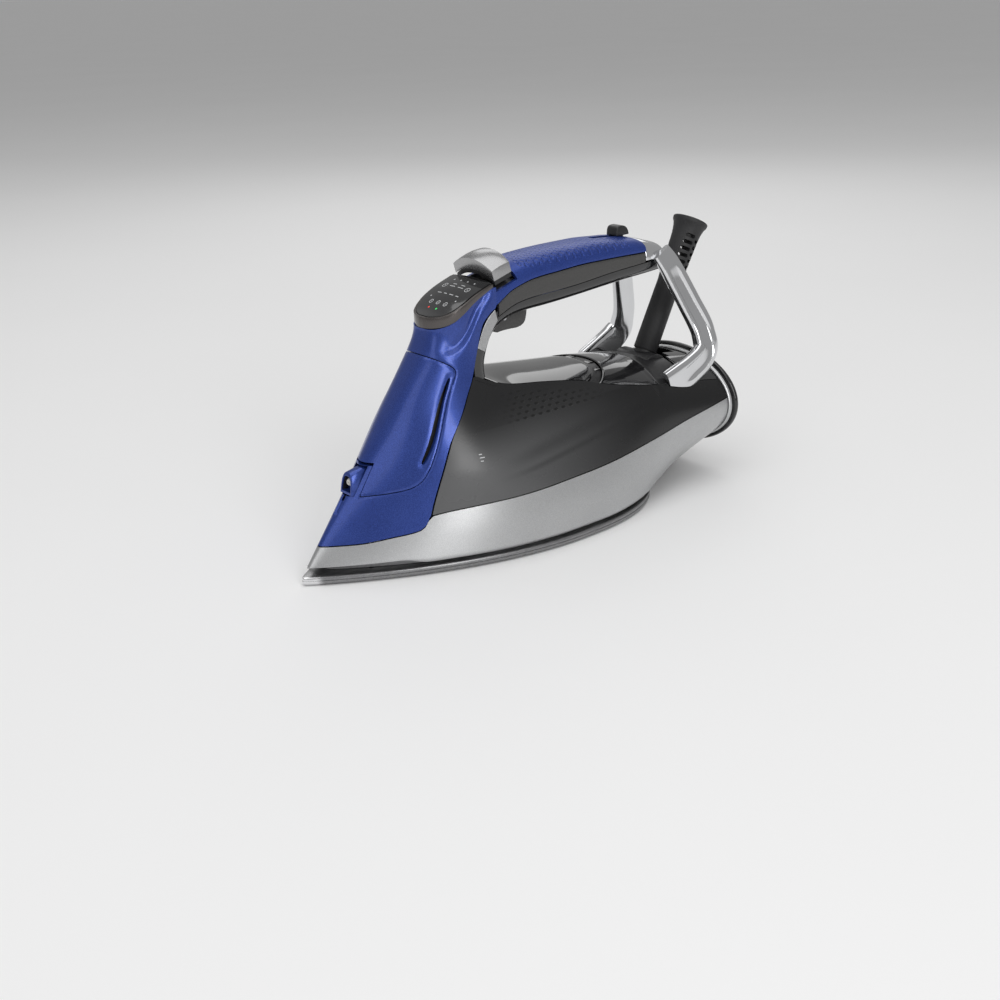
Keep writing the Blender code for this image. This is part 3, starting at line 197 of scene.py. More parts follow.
# ---- mesh makers

def place(p):
    return Vector((noseX + p[0] * 0.001, p[1] * 0.001, p[2] * 0.001))


def addMesh(name, points, faces, sharp=35):
    mesh = bpy.data.meshes.new(name)
    mesh.from_pydata([place(p) for p in points], [], faces)
    work = bmesh.new()
    work.from_mesh(mesh)
    bmesh.ops.remove_doubles(work, verts=work.verts, dist=1e-6)
    bmesh.ops.recalc_face_normals(work, faces=work.faces)
    work.to_mesh(mesh)
    work.free()
    mesh.shade_smooth()
    mesh.set_sharp_from_angle(angle=math.radians(sharp))
    piece = bpy.data.objects.new(name, mesh)
    bpy.context.scene.collection.objects.link(piece)
    return piece


def loft(name, rings, sharp=35, closed=False):
    count = len(rings[0])
    points = [p for ring in rings for p in ring]
    faces = []
    for i in range(len(rings) if closed else len(rings) - 1):
        a = i * count
        b = (i + 1) % len(rings) * count
        for k in range(count):
            n = (k + 1) % count
            faces.append((a + k, a + n, b + n, b + k))
    if not closed:
        faces.append(tuple(range(count)))
        faces.append(tuple(range(len(points) - count, len(points))))
    return addMesh(name, points, faces, sharp)


def flankNormal(x, y, z):
    # the outward direction of the body's flank at a point of it
    step = 0.05
    wide = halfWidth(x, z)
    along = (halfWidth(x + step, z) - wide) / step
    up = (halfWidth(x, z + step) - wide) / step
    length = math.sqrt(along * along + up * up + 1)
    return -along / length, (1 if y >= 0 else -1) * min(abs(y) * 20, 1) / length, -up / length


def shell(name, point, across, along, wall, inside=(150, 0, 60), sink=None, sharp=35, innerPoint=None,
          normalAt=None):
    # a closed skin of even thickness; sink gives how far a point of the outer face lies inwards
    def gridOf(at):
        return np.array([[at(i / across, j / along) for j in range(along + 1)] for i in range(across + 1)], float)

    grid = gridOf(point)
    normals = np.cross(np.gradient(grid, axis=0), np.gradient(grid, axis=1))
    normals /= np.maximum(np.linalg.norm(normals, axis=2, keepdims=True), 1e-9)
    if ((grid - np.array(inside)) * normals).sum(axis=2).mean() < 0:
        normals = -normals
    if normalAt:
        normals = np.array([[normalAt(*p) for p in row] for row in grid])
    inner = gridOf(innerPoint) if innerPoint else grid - normals * wall
    if sink:
        depth = np.array([[sink(*p) for p in row] for row in grid])
        grid = grid - normals * depth[:, :, None]
        inner = inner - normals * depth[:, :, None]
    points = [tuple(p) for p in grid.reshape(-1, 3)] + [tuple(p) for p in inner.reshape(-1, 3)]
    row = along + 1
    half = (across + 1) * row
    faces = []
    for i in range(across):
        for j in range(along):
            a = i * row + j
            quad = (a, a + 1, a + row + 1, a + row)
            faces.append(quad)
            faces.append(tuple(q + half for q in reversed(quad)))
    border = list(range(row))
    border += [i * row + along for i in range(1, across + 1)]
    border += [across * row + j for j in range(along - 1, -1, -1)]
    border += [i * row for i in range(across - 1, 0, -1)]
    for a, b in zip(border, border[1:] + border[:1]):
        faces.append((a, b, b + half, a + half))
    return addMesh(name, points, faces, sharp)


def prism(name, outline, low, high, sharp=35):
    return loft(name, [[(x, low, z) for x, z in outline], [(x, high, z) for x, z in outline]], sharp)


def block(name, low, high):
    outline = [(low[0], low[2]), (high[0], low[2]), (high[0], high[2]), (low[0], high[2])]
    return prism(name, outline, low[1], high[1])


def turned(name, profile, base, direction, sides=48, sharp=35):
    axis, first, second = crossFrame(direction)
    rings = []
    for k in range(sides):
        angle = 2 * math.pi * k / sides
        out = first * math.cos(angle) + second * math.sin(angle)
        rings.append([Vector(base) + axis * d + out * r for r, d in profile])
    return loft(name, rings, sharp, closed=True)


def crossFrame(direction):
    direction = Vector(direction).normalized()
    side = Vector((1, 0, 0)) if abs(direction.y) > 0.9 else Vector((0, 1, 0))
    first = direction.cross(side).normalized()
    return direction, first, direction.cross(first)


def rod(name, start, end, radius, sides=24):
    start = Vector(start)
    axis, first, second = crossFrame(Vector(end) - start)
    rings = []
    for d in (0, (Vector(end) - start).length):
        ring = []
        for k in range(sides):
            angle = 2 * math.pi * k / sides
            ring.append(start + axis * d + (first * math.cos(angle) + second * math.sin(angle)) * radius)
        rings.append(ring)
    return loft(name, rings)


def bake(piece):
    # the modifiers become part of the mesh
    bpy.context.view_layer.update()
    graph = bpy.context.evaluated_depsgraph_get()
    mesh = bpy.data.meshes.new_from_object(piece.evaluated_get(graph))
    piece.modifiers.clear()
    piece.data = mesh
    return piece


def cut(piece, tool, operation="DIFFERENCE"):
    boolean = piece.modifiers.new(operation.title(), "BOOLEAN")
    boolean.operation = operation
    boolean.object = tool
    bake(piece)
    bpy.data.objects.remove(tool)
    return piece


def join(name, pieces):
    work = bmesh.new()
    for piece in pieces:
        work.from_mesh(piece.data)
        bpy.data.objects.remove(piece)
    mesh = bpy.data.meshes.new(name)
    work.to_mesh(mesh)
    work.free()
    joined = bpy.data.objects.new(name, mesh)
    bpy.context.scene.collection.objects.link(joined)
    return joined


def resmooth(piece, angle=35):
    piece.data.shade_smooth()
    piece.data.set_sharp_from_angle(angle=math.radians(angle))
    return piece


def roundEdges(piece, width, segments=3, angle=40):
    bevel = piece.modifiers.new("Bevel", "BEVEL")
    bevel.width = width * 0.001
    bevel.segments = segments
    bevel.limit_method = "ANGLE"
    bevel.angle_limit = math.radians(angle)
    bevel.harden_normals = False
    bake(piece)
    return resmooth(piece, 50)


# ---- materials

class Link:
    # one socket, so that shader maths can be written as an expression
    def __init__(self, paint, socket):
        self.paint = paint
        self.socket = socket

    def math(self, operation, *values):
        return self.paint.node("ShaderNodeMath", {"operation": operation}, dict(enumerate(values)))

    def __add__(self, other):
        return self.math("ADD", self, other)

    def __sub__(self, other):
        return self.math("SUBTRACT", self, other)

    def __mul__(self, other):
        return self.math("MULTIPLY", self, other)

    def __truediv__(self, other):
        return self.math("DIVIDE", self, other)

    def __rsub__(self, other):
        return self.math("SUBTRACT", other, self)

    def __rtruediv__(self, other):
        return self.math("DIVIDE", other, self)

    __radd__ = __add__
    __rmul__ = __mul__


class Paint:
    def __init__(self, name):
        self.material = bpy.data.materials.new(name)
        self.material.use_nodes = True
        self.tree = self.material.node_tree
        self.shader = self.tree.nodes["Principled BSDF"]

    def node(self, kind, settings=None, values=None, output=0):
        made = self.tree.nodes.new(kind)
        for key, value in (settings or {}).items():
            if key == "stops":
                self.setStops(made.color_ramp, value)
            else:
                setattr(made, key, value)
        for key, value in (values or {}).items():
            self.feed(made.inputs[key], value)
        return Link(self, made.outputs[output])

    def setStops(self, ramp, stops):
        while len(ramp.elements) < len(stops):
            ramp.elements.new(0.5)
        for element, (position, colour) in zip(ramp.elements, stops):
            element.position = position
            element.color = (*colour, 1)

    def feed(self, socket, value):
        if isinstance(value, Link):
            self.tree.links.new(value.socket, socket)
        else:
            socket.default_value = value

    def where(self):
        return self.node("ShaderNodeTexCoord", output="Object")

    def axes(self):
        # x in millimetres behind the nose, y and z in millimetres
        split = self.node("ShaderNodeSeparateXYZ", values={0: self.where()})
        x, y, z = (Link(self, socket) for socket in split.socket.node.outputs)
        return (x - noseX) * 1000.0, y * 1000.0, z * 1000.0

    def stretched(self, scale):
        return self.node("ShaderNodeMapping", values={"Vector": self.where(), "Scale": scale})

    def noise(self, scale, detail=2.0, vector=None):
        values = {"Vector": vector or self.where(), "Scale": scale, "Detail": detail}
        return self.node("ShaderNodeTexNoise", values=values)

    def mix(self, factor, a, b):
        colour = lambda c: (*c, 1) if isinstance(c, tuple) and len(c) == 3 else c
        return self.node("ShaderNodeMix", {"data_type": "RGBA"}, {0: factor, 6: colour(a), 7: colour(b)}, output=2)

    def span(self, value, low, high):
        # value from low..high onto 0..1
        return self.node("ShaderNodeMapRange", {"interpolation_type": "SMOOTHSTEP"},
                         {"Value": value, "From Min": low, "From Max": high})

    def bump(self, height, distance, strength=1.0):
        return self.node("ShaderNodeBump", values={"Height": height, "Distance": distance, "Strength": strength})

    def set(self, **values):
        names = {"colour": "Base Color", "metal": "Metallic", "rough": "Roughness", "normal": "Normal",
                 "coat": "Coat Weight", "coatRough": "Coat Roughness", "specular": "Specular IOR Level",
                 "glow": "Emission Color", "glowPower": "Emission Strength",
                 "brushed": "Anisotropic", "brushTurn": "Anisotropic Rotation"}
        for key, value in values.items():
            if isinstance(value, tuple) and len(value) == 3:
                value = (*value, 1)
            self.feed(self.shader.inputs[names[key]], value)
        return self.material


paintSizes = {"flake": 2600.0, "orangePeel": 420.0, "brush": 900.0, "grain": 1500.0, "smudge": 28.0}


def bluePaint(name, dimples=False):
    p = Paint(name)
    flakes = p.noise(paintSizes["flake"], 3.0)
    broad = p.noise(paintSizes["smudge"], 3.0)
    tone = p.mix(p.span(flakes, 0.36, 0.66), (0.015, 0.040, 0.22), (0.036, 0.078, 0.37))
    tone = p.mix(p.span(broad, 0.3, 0.75) * 0.2, tone, (0.048, 0.088, 0.34))
    rough = (0.38 if dimples else 0.27) + p.span(broad, 0.35, 0.7) * 0.07
    height = p.noise(paintSizes["orangePeel"], 2.0) * 0.02
    if dimples:
        height = height - dimpleMask(p)
    peel = p.bump(height, 0.0006, 0.8) if dimples else p.bump(height, 0.001, 0.5)
    return p.set(colour=tone, metal=0.6, rough=rough, coat=0.1 if dimples else 0.35, coatRough=0.12, normal=peel)


def dentDistance(rows, across, stretch=1.0):
    # distance from the middle of the nearest cell, where every second row is shifted by half a cell
    odd = rows.math("FLOORED_MODULO", rows.math("FLOOR", rows), 2.0)
    up = rows.math("FRACT", rows) - 0.5
    along = across.math("FRACT", across + odd * 0.5) - 0.5
    return up.math("SQRT", along * along + up * up * stretch)


dimpleForm = {"step": (3.1, 3.6), "size": 0.32, "front": 141.0, "rear": 226.0, "aboveSeam": 147.0}


def dimpleMask(p):
    # staggered oval dents over the top of the grip
    f = dimpleForm
    x, y, z = p.axes()
    away = dentDistance(x / f["step"][0], y / f["step"][1])
    dents = 1.0 - p.span(away, f["size"] - 0.14, f["size"] + 0.06)
    lengthwise = p.span(x, f["front"], f["front"] + 3) * p.span(x, f["rear"], f["rear"] - 3)
    return dents * lengthwise * p.span(z, f["aboveSeam"], f["aboveSeam"] + 0.8)


def silverPaint():
    p = Paint("silverSkirt")
    grain = p.noise(paintSizes["flake"], 2.0)
    broad = p.noise(paintSizes["smudge"], 3.0)
    tone = p.mix(p.span(grain, 0.3, 0.7), (0.47, 0.475, 0.48), (0.58, 0.585, 0.59))
    rough = 0.33 + p.span(broad, 0.3, 0.75) * 0.06
    peel = p.bump(p.noise(paintSizes["orangePeel"], 2.0), 0.000015, 0.5)
    return p.set(colour=tone, metal=0.92, rough=rough, normal=peel, brushed=0.8, brushTurn=0.25)


def chrome():
    p = Paint("chromePlate")
    smudge = p.noise(paintSizes["smudge"], 4.0)
    tone = p.mix(p.span(smudge, 0.3, 0.8), (0.74, 0.745, 0.76), (0.66, 0.665, 0.675))
    return p.set(colour=tone, metal=1.0, rough=0.10 + p.span(smudge, 0.35, 0.75) * 0.09)


def buttonMetal():
    p = Paint("buttonMetal")
    lines = p.noise(paintSizes["brush"], 2.0, p.stretched((8.0, 0.3, 8.0)))
    tone = p.mix(p.span(lines, 0.3, 0.7), (0.37, 0.37, 0.375), (0.43, 0.43, 0.435))
    return p.set(colour=tone, metal=0.95, rough=0.24 + p.span(lines, 0.2, 0.8) * 0.05)


def glossBlack():
    p = Paint("glossBlack")
    haze = p.noise(paintSizes["smudge"], 4.0)
    tone = p.mix(p.span(haze, 0.3, 0.8), (0.008, 0.008, 0.009), (0.014, 0.014, 0.015))
    return p.set(colour=tone, rough=0.06 + p.span(haze, 0.35, 0.75) * 0.06, coat=0.6, coatRough=0.04)


def moulded(name, colour, rough, grain=0.00006, share=0.35):
    # satin plastic or rubber with a fine spark-eroded grain
    p = Paint(name)
    fine = p.noise(paintSizes["grain"], 3.0)
    broad = p.noise(paintSizes["smudge"], 3.0)
    light = tuple(c * (1 + share) + 0.004 for c in colour)
    tone = p.mix(p.span(fine, 0.3, 0.7), colour, light)
    return p.set(colour=tone, rough=rough + p.span(broad, 0.3, 0.8) * 0.08, normal=p.bump(fine, grain, 0.6))


# light and dark are the tank's painted lit and shaded tones
tankLook = {
    "light": (0.105, 0.106, 0.108), "dark": (0.0035, 0.0035, 0.004), "lineTone": (0.012, 0.012, 0.013),
    "innerLines": ((44.0, 1.2), (51.0, 2.6)), "lineSlope": 0.115, "upperTone": (0.016, 0.016, 0.017),
    "dentTone": (0.002, 0.002, 0.002), "dentStep": (5.6, 2.5), "dentFrom": 108.0, "dentTo": 196.0, "dentSize": 0.30,
}


def smokedTank():
    p = Paint("smokedTank")
    f = tankLook
    x, y, z = p.axes()
    # painted light and shade: the tank's colour is painted light low and forward, as lit from inside, and black
    # towards the rear
    paintedLight = p.span(x, 215.0, 80.0) * p.span(z - (x - 70.0) * 0.10, 78.0, 46.0)
    tone = p.mix(paintedLight, f["dark"], f["light"])
    # the tank's inner floor and walls show through as soft lines that rise to the rear
    rise = z - (x - 90.0) * f["lineSlope"]
    for level, width in f["innerLines"]:
        line = 1.0 - p.span(rise.math("ABSOLUTE", rise - level), 0.0, width * 2)
        tone = p.mix(line * 0.4 * p.span(x, 95.0, 130.0) * p.span(x, 225.0, 190.0), tone, f["lineTone"])
    upper = p.span(z - x * 0.02, 68.4, 68.9)
    tone = p.mix(upper * 0.5, tone, f["upperTone"])
    # rows of small oval dents
    away = dentDistance(z / f["dentStep"][1], x / f["dentStep"][0], 1.3)
    fade = p.span(x, f["dentFrom"], f["dentFrom"] + 22) * p.span(x, f["dentTo"], f["dentTo"] - 40)
    band = p.span(z, 69.0, 70.5) * p.span(z + (x - 120) * 0.16, 86.5, 84.0)
    dents = (1.0 - p.span(away, f["dentSize"] - 0.08, f["dentSize"] + 0.06)) * fade * band
    tone = p.mix(dents * 0.9, tone, f["dentTone"])
    haze = p.noise(paintSizes["smudge"], 4.0)
    return p.set(colour=tone, rough=0.25 + p.span(haze, 0.35, 0.75) * 0.05, specular=0.5,
                 normal=p.bump(dents * -1.0, 0.0002, 0.7))


def solePlateMetal():
    p = Paint("soleCoating")
    x, y, z = p.axes()
    lines = p.noise(700.0, 3.0, p.stretched((0.12, 3.0, 6.0)))
    face = p.mix(p.span(lines, 0.25, 0.75), (0.20, 0.20, 0.205), (0.34, 0.34, 0.345))
    # painted highlight: the rim's colour is painted bright at the nose and at the heel
    ends = p.span(x, 9.0, 5.0) + p.span(x, 229.0, 233.0)
    tone = p.mix(ends, face, (0.78, 0.78, 0.79))
    rough = 0.30 - ends * 0.14 + p.span(lines, 0.3, 0.7) * 0.08
    return p.set(colour=tone, metal=0.92, rough=rough, normal=p.bump(lines, 0.00003, 0.6))


def metal(name, colour, rough, bumpSize=0.00004, scale=900.0):
    p = Paint(name)
    grain = p.noise(scale, 3.0)
    dark = tuple(c * 0.8 for c in colour)
    return p.set(colour=p.mix(p.span(grain, 0.3, 0.7), dark, colour), metal=1.0,
                 rough=rough + p.span(grain, 0.3, 0.7) * 0.1, normal=p.bump(grain, bumpSize, 0.7))


def bronzeRim():
    p = Paint("bronzeRim")
    broad = p.noise(paintSizes["smudge"], 3.0)
    tone = p.mix(p.span(broad, 0.3, 0.7), (0.075, 0.066, 0.062), (0.105, 0.094, 0.090))
    return p.set(colour=tone, metal=0.75, rough=0.2 + p.span(broad, 0.35, 0.7) * 0.08, coat=0.4, coatRough=0.06)


def lamp(name, colour):
    p = Paint(name)
    grain = p.noise(1800.0)
    tone = p.mix(p.span(grain, 0.3, 0.7), colour, tuple(0.8 * c for c in colour))
    return p.set(colour=tone, rough=0.25, glow=tone, glowPower=0.5)


def circuitBoard():
    p = Paint("circuitBoard")
    tracks = p.node("ShaderNodeTexBrick", {}, {"Vector": p.stretched((260.0, 260.0, 260.0)), "Scale": 1.0,
                                             "Mortar Size": 0.06}, output=1)
    tone = p.mix(tracks, (0.02, 0.13, 0.05), (0.10, 0.32, 0.12))
    return p.set(colour=tone, rough=0.35 + p.noise(600.0) * 0.2)


def makePaints():
    return {
        "blue": bluePaint("blueShell"), "dimpled": bluePaint("blueGrip", True), "silver": silverPaint(),
        "chrome": chrome(), "button": buttonMetal(),
        "smoke": smokedTank(), "gloss_black": glossBlack(), "plate": solePlateMetal(),
        "dark_grey": moulded("greySatin", (0.048, 0.047, 0.046), 0.40),
        "black": moulded("blackSatin", (0.012, 0.012, 0.013), 0.34),
        "rubber_black": moulded("blackRubber", (0.016, 0.016, 0.017), 0.52, 0.00009),
        "cast": metal("castMetal", (0.42, 0.42, 0.43), 0.5, 0.00012, 700.0),
        "steel": metal("brightSteel", (0.52, 0.52, 0.54), 0.25),
        "white": moulded("whitePlastic", (0.72, 0.71, 0.67), 0.4, 0.00004, 0.04),
        "board": circuitBoard(),
        "seal": moulded("redSilicone", (0.42, 0.06, 0.04), 0.5, 0.00005, 0.15),
        "clear": moulded("tubeSilicone", (0.62, 0.65, 0.67), 0.3, 0.00003, 0.05),
        "bronze": bronzeRim(), "lampGreen": lamp("lampGreen", (0.05, 0.75, 0.15)),
        "lampRed": lamp("lampRed", (0.85, 0.05, 0.03)),
        "printing": moulded("paleInk", (0.55, 0.56, 0.57), 0.5, 0.00001, 0.03),
    }


paints = makePaints()
print("materials made")


def dress(piece, slot, body="body", paint=None, replaces=()):
    piece.data.materials.clear()
    piece.data.materials.append(paints[paint or slot])
    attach(piece, body)
    if replaces:
        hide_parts(*replaces)
    return piece


def dressFrame():
    # every CAD node that stays gets the finish of its slot
    slots = {s["node"]: s["material_slot"] for s in frame["record"]["subparts"]}
    for name, node in frame["nodes"].items():
        node.data.materials.clear()
        node.data.materials.append(paints[slots[name]])


dressFrame()


# ---- soleplate and skirt

soleForm = {
    "holeRadius": 1.6, "rowInsets": (9.0, 17.0), "rowStart": 34.0, "holeStep": 17.0, "rowShift": 8.0,
    "middleHoles": (24.0, 44.0),
    "edge": [(0.0, 1.3), (0.35, 0.55), (1.0, 0.08), (1.5, 0.0), (2.3, 0.0), (2.5, 0.35), (2.7, 0.35), (2.9, 0.0),
             (3.7, 0.0), (4.3, 0.3), (4.6, 0.9)],   # height and inset
}


def planOutline(widthAt, start, end, count):
    xs = [start + (end - start) * (1 - math.cos(math.pi * k / count)) / 2 for k in range(count + 1)]
    upper = [(x, widthAt(x)) for x in xs[1:-1]]
    return [(xs[0], 0.0), *upper, (xs[-1], 0.0), *[(x, -y) for x, y in reversed(upper)]]


def makeSole():
    outline = planOutline(soleHalfWidth, 0.0, bodyForm["soleLength"], 110)
    flat = np.array(outline)
    along = np.roll(flat, -1, axis=0) - np.roll(flat, 1, axis=0)
    normal = np.stack([along[:, 1], -along[:, 0]], axis=1)
    normal /= np.linalg.norm(normal, axis=1, keepdims=True)
    if (normal * (flat - np.array([130.0, 0.0]))).sum() < 0:
        normal = -normal
    rings = []
    for z, inset in soleForm["edge"]:
        ring = flat - normal * inset
        rings.append([(x, y, z) for x, y in ring])
    sole = loft("soleFace", rings, 28)
    holes = []
    for rowIndex, inset in enumerate(soleForm["rowInsets"]):
        for k in range(6):
            x = soleForm["rowStart"] + soleForm["holeStep"] * k + soleForm["rowShift"] * rowIndex
            y = soleHalfWidth(x) - inset
            holes += [(x, y), (x, -y)]
    holes += [(x, 0.0) for x in soleForm["middleHoles"]]
    r = soleForm["holeRadius"]
    profile = [(0.001, -1), (r + 0.8, -1), (r + 0.8, -0.01), (r, 0.6), (r, 6), (0.001, 6)]
    tools = [turned(f"hole{k}", profile, (x, y, 0), (0, 0, 1), 16) for k, (x, y) in enumerate(holes)]
    cut(sole, join("holes", tools))
    dress(resmooth(sole, 28), "plate", replaces=["soleplate"])


def halves(s):
    run = 2 * s - 1
    return (-1 if run < 0 else 1), abs(run)


def skirtPoint(s, t):
    side, share = halves(s)
    run = share ** 1.7
    lowX = lerp(bodyForm["ridgeFoot"], shellRear, run)
    highX = lerp(ridgeX(skirtTop(10)), shellRear, run)
    x = lerp(lowX, highX, t)
    z = lerp(skirtBottom(lowX), skirtTop(highX) - 0.3, t)
    x = max(x, ridgeX(z))
    # the lower edge rolls under
    roll = 0.9 * max(1 - t / 0.06, 0) ** 2
    return x, side * max(halfWidth(x, z) - roll, 0), z


def makeSkirt():
    skirt = shell("skirtSkin", skirtPoint, 190, 26, 2.0)
    dress(skirt, "silver", replaces=["skirt"])


makeSole()
makeSkirt()
print("sole and skirt made")


# ---- front shell, filler door and spray hood

doorForm = {
    "gap": 0.5, "rounding": 1.3, "roundDepth": 0.45, "lip": 0.45, "wall": 1.2, "groove": 1.15, "middle": (60.0, 80.0),
    "tongueHalf": 7.2, "tongueTop": 57.3, "footTop": 58.8, "pinX": 46.5, "pinZ": 50.0, "pinBore": 1.8,
}
neckForm = {"fromX": 82.0, "inset": 1.5, "hollow": 0.8, "hollowAbove": 1.6, "hollowSpread": 3.8, "toX": 121.5}
dripForm = {"topZ": 43.0, "half": 1.6, "depth": 1.0, "lowZ": 33.0}
hoodForm = {"front": 30.6, "rear": 48.5, "low": 43.1, "high": 56.9, "half": 5.1, "rim": 1.1, "lean": 0.18,
            "hole": [(29, 42.8), (49.5, 42.8), (50.5, 57.2), (36, 57.2)]}
doorSide = [(22.0, 42.6), (36, 42.9), (50.3, 44.6), (58.5, 46.9), (63.6, 51.5), (70.6, 63.2), (80.6, 81.5),
            (91.8, 98.5), (92.4, 101.8), (89.4, 104.6), (83.3, 108.2), (76.0, 111.6), (62.0, 113.5)]
innerGroove = softened([(88.8, 98.4), (79.0, 83.4), (69.2, 66.0), (63.4, 57.6)], 2)
creaseLine = softened([(121.8, 139.6), (113.0, 133.0), (107.6, 125.6), (103.0, 118.6), (97.0, 113.2), (90.0, 111.0),
                       (80.0, 110.6)], 2)
innerDistance = lineDistance(innerGroove)
creaseZ = curve(sorted(creaseLine))


def trough(distance, half, depth, wall=0.6):
    # a flat-floored groove with rounded walls
    return depth * smooth((half - distance) / (half * wall))


def doorOutline(grow):
    cx, cz = doorForm["middle"]
    points = []
    for x, z in doorSide[1:-1]:
        d = math.hypot(x - cx, z - cz)
        points.append((x + (x - cx) / d * grow, z + (z - cz) / d * grow))
    body = softened(points, 3)
    return [(22.0, 42.6 - grow), *body, (62.0, 113.5 + grow)]


doorEdge = lineDistance(doorOutline(0.0))


def edgeRounding(x, z):
    return doorForm["roundDepth"] * max(1 - doorEdge(x, z) / doorForm["rounding"], 0) ** 2


def frontPoint(s, t):
    side, share = halves(s)
    run = share ** 1.45
    rearX = blueEdge(lerp(31.0, 141.0, t))
    foot = skirtTop(10)
    for _ in range(4):
        foot = skirtTop(lerp(ridgeX(foot), blueEdge(31.0), run))
    head = panelFoot(lerp(ridgeX(122), blueEdge(141.0), run))
    z = lerp(foot + 0.3, head - 0.3, t)
    x = lerp(ridgeX(z), rearX, run)
    return x, side * halfWidth(x, z), z


def frontSink(x, y, z):
    depth = 0.0
    # under the panel the neck lies back behind the flank, with a hollow between them
    neck, drip = neckForm, dripForm
    above = z - creaseZ(x) if x > neck["fromX"] else 0.0
    if x > neck["fromX"] and above > -4:
        inset = neck["inset"] * smooth((above + 3.0) / 5.0) * smooth((x - neck["fromX"] - 2) / 8)
        bell = math.exp(-((above - neck["hollowAbove"]) / neck["hollowSpread"]) ** 2)
        inset += neck["hollow"] * bell * smooth((x - neck["fromX"] - 6) / 10)
        depth += inset * smooth((neck["toX"] - x) / 7)
    if abs(y) > doorForm["tongueHalf"]:
        depth += edgeRounding(x, z)
    # a small drip groove runs down the ridge below the spray hood
    if z < drip["topZ"] and abs(y) < drip["half"]:
        depth += drip["depth"] * smooth((drip["half"] - abs(y)) / 0.8) * smooth((z - drip["lowZ"]) / 1.5)
    return depth


def doorSink(x, y, z):
    depth = 0.0
    if abs(y) > 5:
        depth = trough(innerDistance(x, z), 3.2, 0.45, 1.0)
    return min(depth + edgeRounding(x, z), 2.0)


def makeFront():
    front = shell("frontSkin", frontPoint, 150, 150, 2.0, sink=frontSink, normalAt=flankNormal)
    hole = prism("doorHole", doorOutline(doorForm["gap"]), -60, 60)
    half = doorForm["tongueHalf"]
    cut(hole, block("tongue", (10, -half, 30), (60, half, doorForm["tongueTop"])))
    cut(front, hole)
    cut(front, lipRelief())
    cut(front, prism("hoodHole", hoodForm["hole"], -hoodForm["half"] - 0.2, hoodForm["half"] + 0.2))
    dress(resmooth(front, 40), "blue", replaces=["front_shell"])

    door = shell("doorSkin", frontPoint, 150, 150, doorForm["wall"], sink=doorSink, normalAt=flankNormal)
    keep = prism("doorKeep", doorOutline(0.0), -60, 60)
    cut(keep, block("aroundTongue", (10, -half - 0.3, 30), (60, half + 0.3, doorForm["footTop"])))
    cut(door, keep, "INTERSECT")
    for side in (-1, 1):
        cut(door, prism("grooveTool", grooveOutline(), min(side * 5, side * 60), max(side * 5, side * 60)))
    dress(resmooth(door, 40), "blue", body="door", replaces=["filler_door"])
    makeDoorLugs()


def grooveOutline():
    # the finger groove beside the door's rear edge: a long slit, pointed at both ends
    left, right = [], []
    for k, (x, z) in enumerate(innerGroove):
        share = k / (len(innerGroove) - 1)
        half = 0.12 + doorForm["groove"] * math.sin(math.pi * share) ** 0.5
        left.append((x - 0.87 * half, z + 0.5 * half))
        right.append((x + 0.87 * half, z - 0.5 * half))
    return left + right[::-1]


def skinX(y, z):
    # x at which the nose's flank passes a half width
    low = ridgeX(z)
    high = low + 60
    for _ in range(30):
        middle = (low + high) / 2
        if halfWidth(middle, z) < y:
            low = middle
        else:
            high = middle
    return high


def lipRelief():
    # the shell's edge below the door is thin inside, where the door's own edge swings in
    rings = []
    for z in (40.0, 41.4, 42.8, 44.2):
        inside = lambda x, z=z: max(halfWidth(x, z) - doorForm["lip"], 0.05)
        outline = planOutline(inside, ridgeX(z) + 2 * doorForm["lip"], 48, 32)
        rings.append([(x, y, z) for x, y in outline])
    return loft("lipTool", rings)


def makeDoorLugs():
    # two ears behind the door's foot, bored for the pin
    inner, outer = doorForm["tongueHalf"] + 0.3, doorForm["tongueHalf"] + 5
    for name, side in (("Left", 1), ("Right", -1)):
        rings = []
        for z in (47.0, 48.0, 50.0, 52.0, 54.0, 55.0):
            ring = [(skinX(inner, z) + 0.7, inner), (skinX(outer, z) + 0.7, outer), (49.5, outer), (49.5, inner)]
            rings.append([(x, side * y, z) for x, y in ring])
        ear = loft(f"doorEar{name}", rings)
        x, z = doorForm["pinX"], doorForm["pinZ"]
        cut(ear, rod("earBore", (x, side * 5, z), (x, side * 11.3, z), doorForm["pinBore"]))
        dress(resmooth(ear), "blue", body="door")


def makeShadeLiner():
    # a black inner skin that paints shade into the door's seams and its finger groove, so that nothing shows through
    # them
    def point(s, t):
        side, share = halves(s)
        z = lerp(56.5, 119.0, t)
        x = lerp(ridgeX(z) + 7.0, blueEdge(z) - 1.0, share ** 1.45)
        return x, side * max(halfWidth(x - 6.2, z) - 5.0, 0), z
    dress(shell("innerSkin", point, 60, 30, 0.3, inside=(150, 0, 60)), "black")


def archRing(x, low, high, half, count=26, lean=0.0):
    # an upright arch: straight sides below, a round top
    ring = []
    for k in range(count):
        a = math.pi * k / (count - 1)
        y = half * math.copysign(abs(math.cos(a)) ** 0.62, math.cos(a))
        up = math.sin(a) ** 0.72
        z = low + (high - low) * up
        ring.append((x + lean * (z - low), y, z))
    return ring


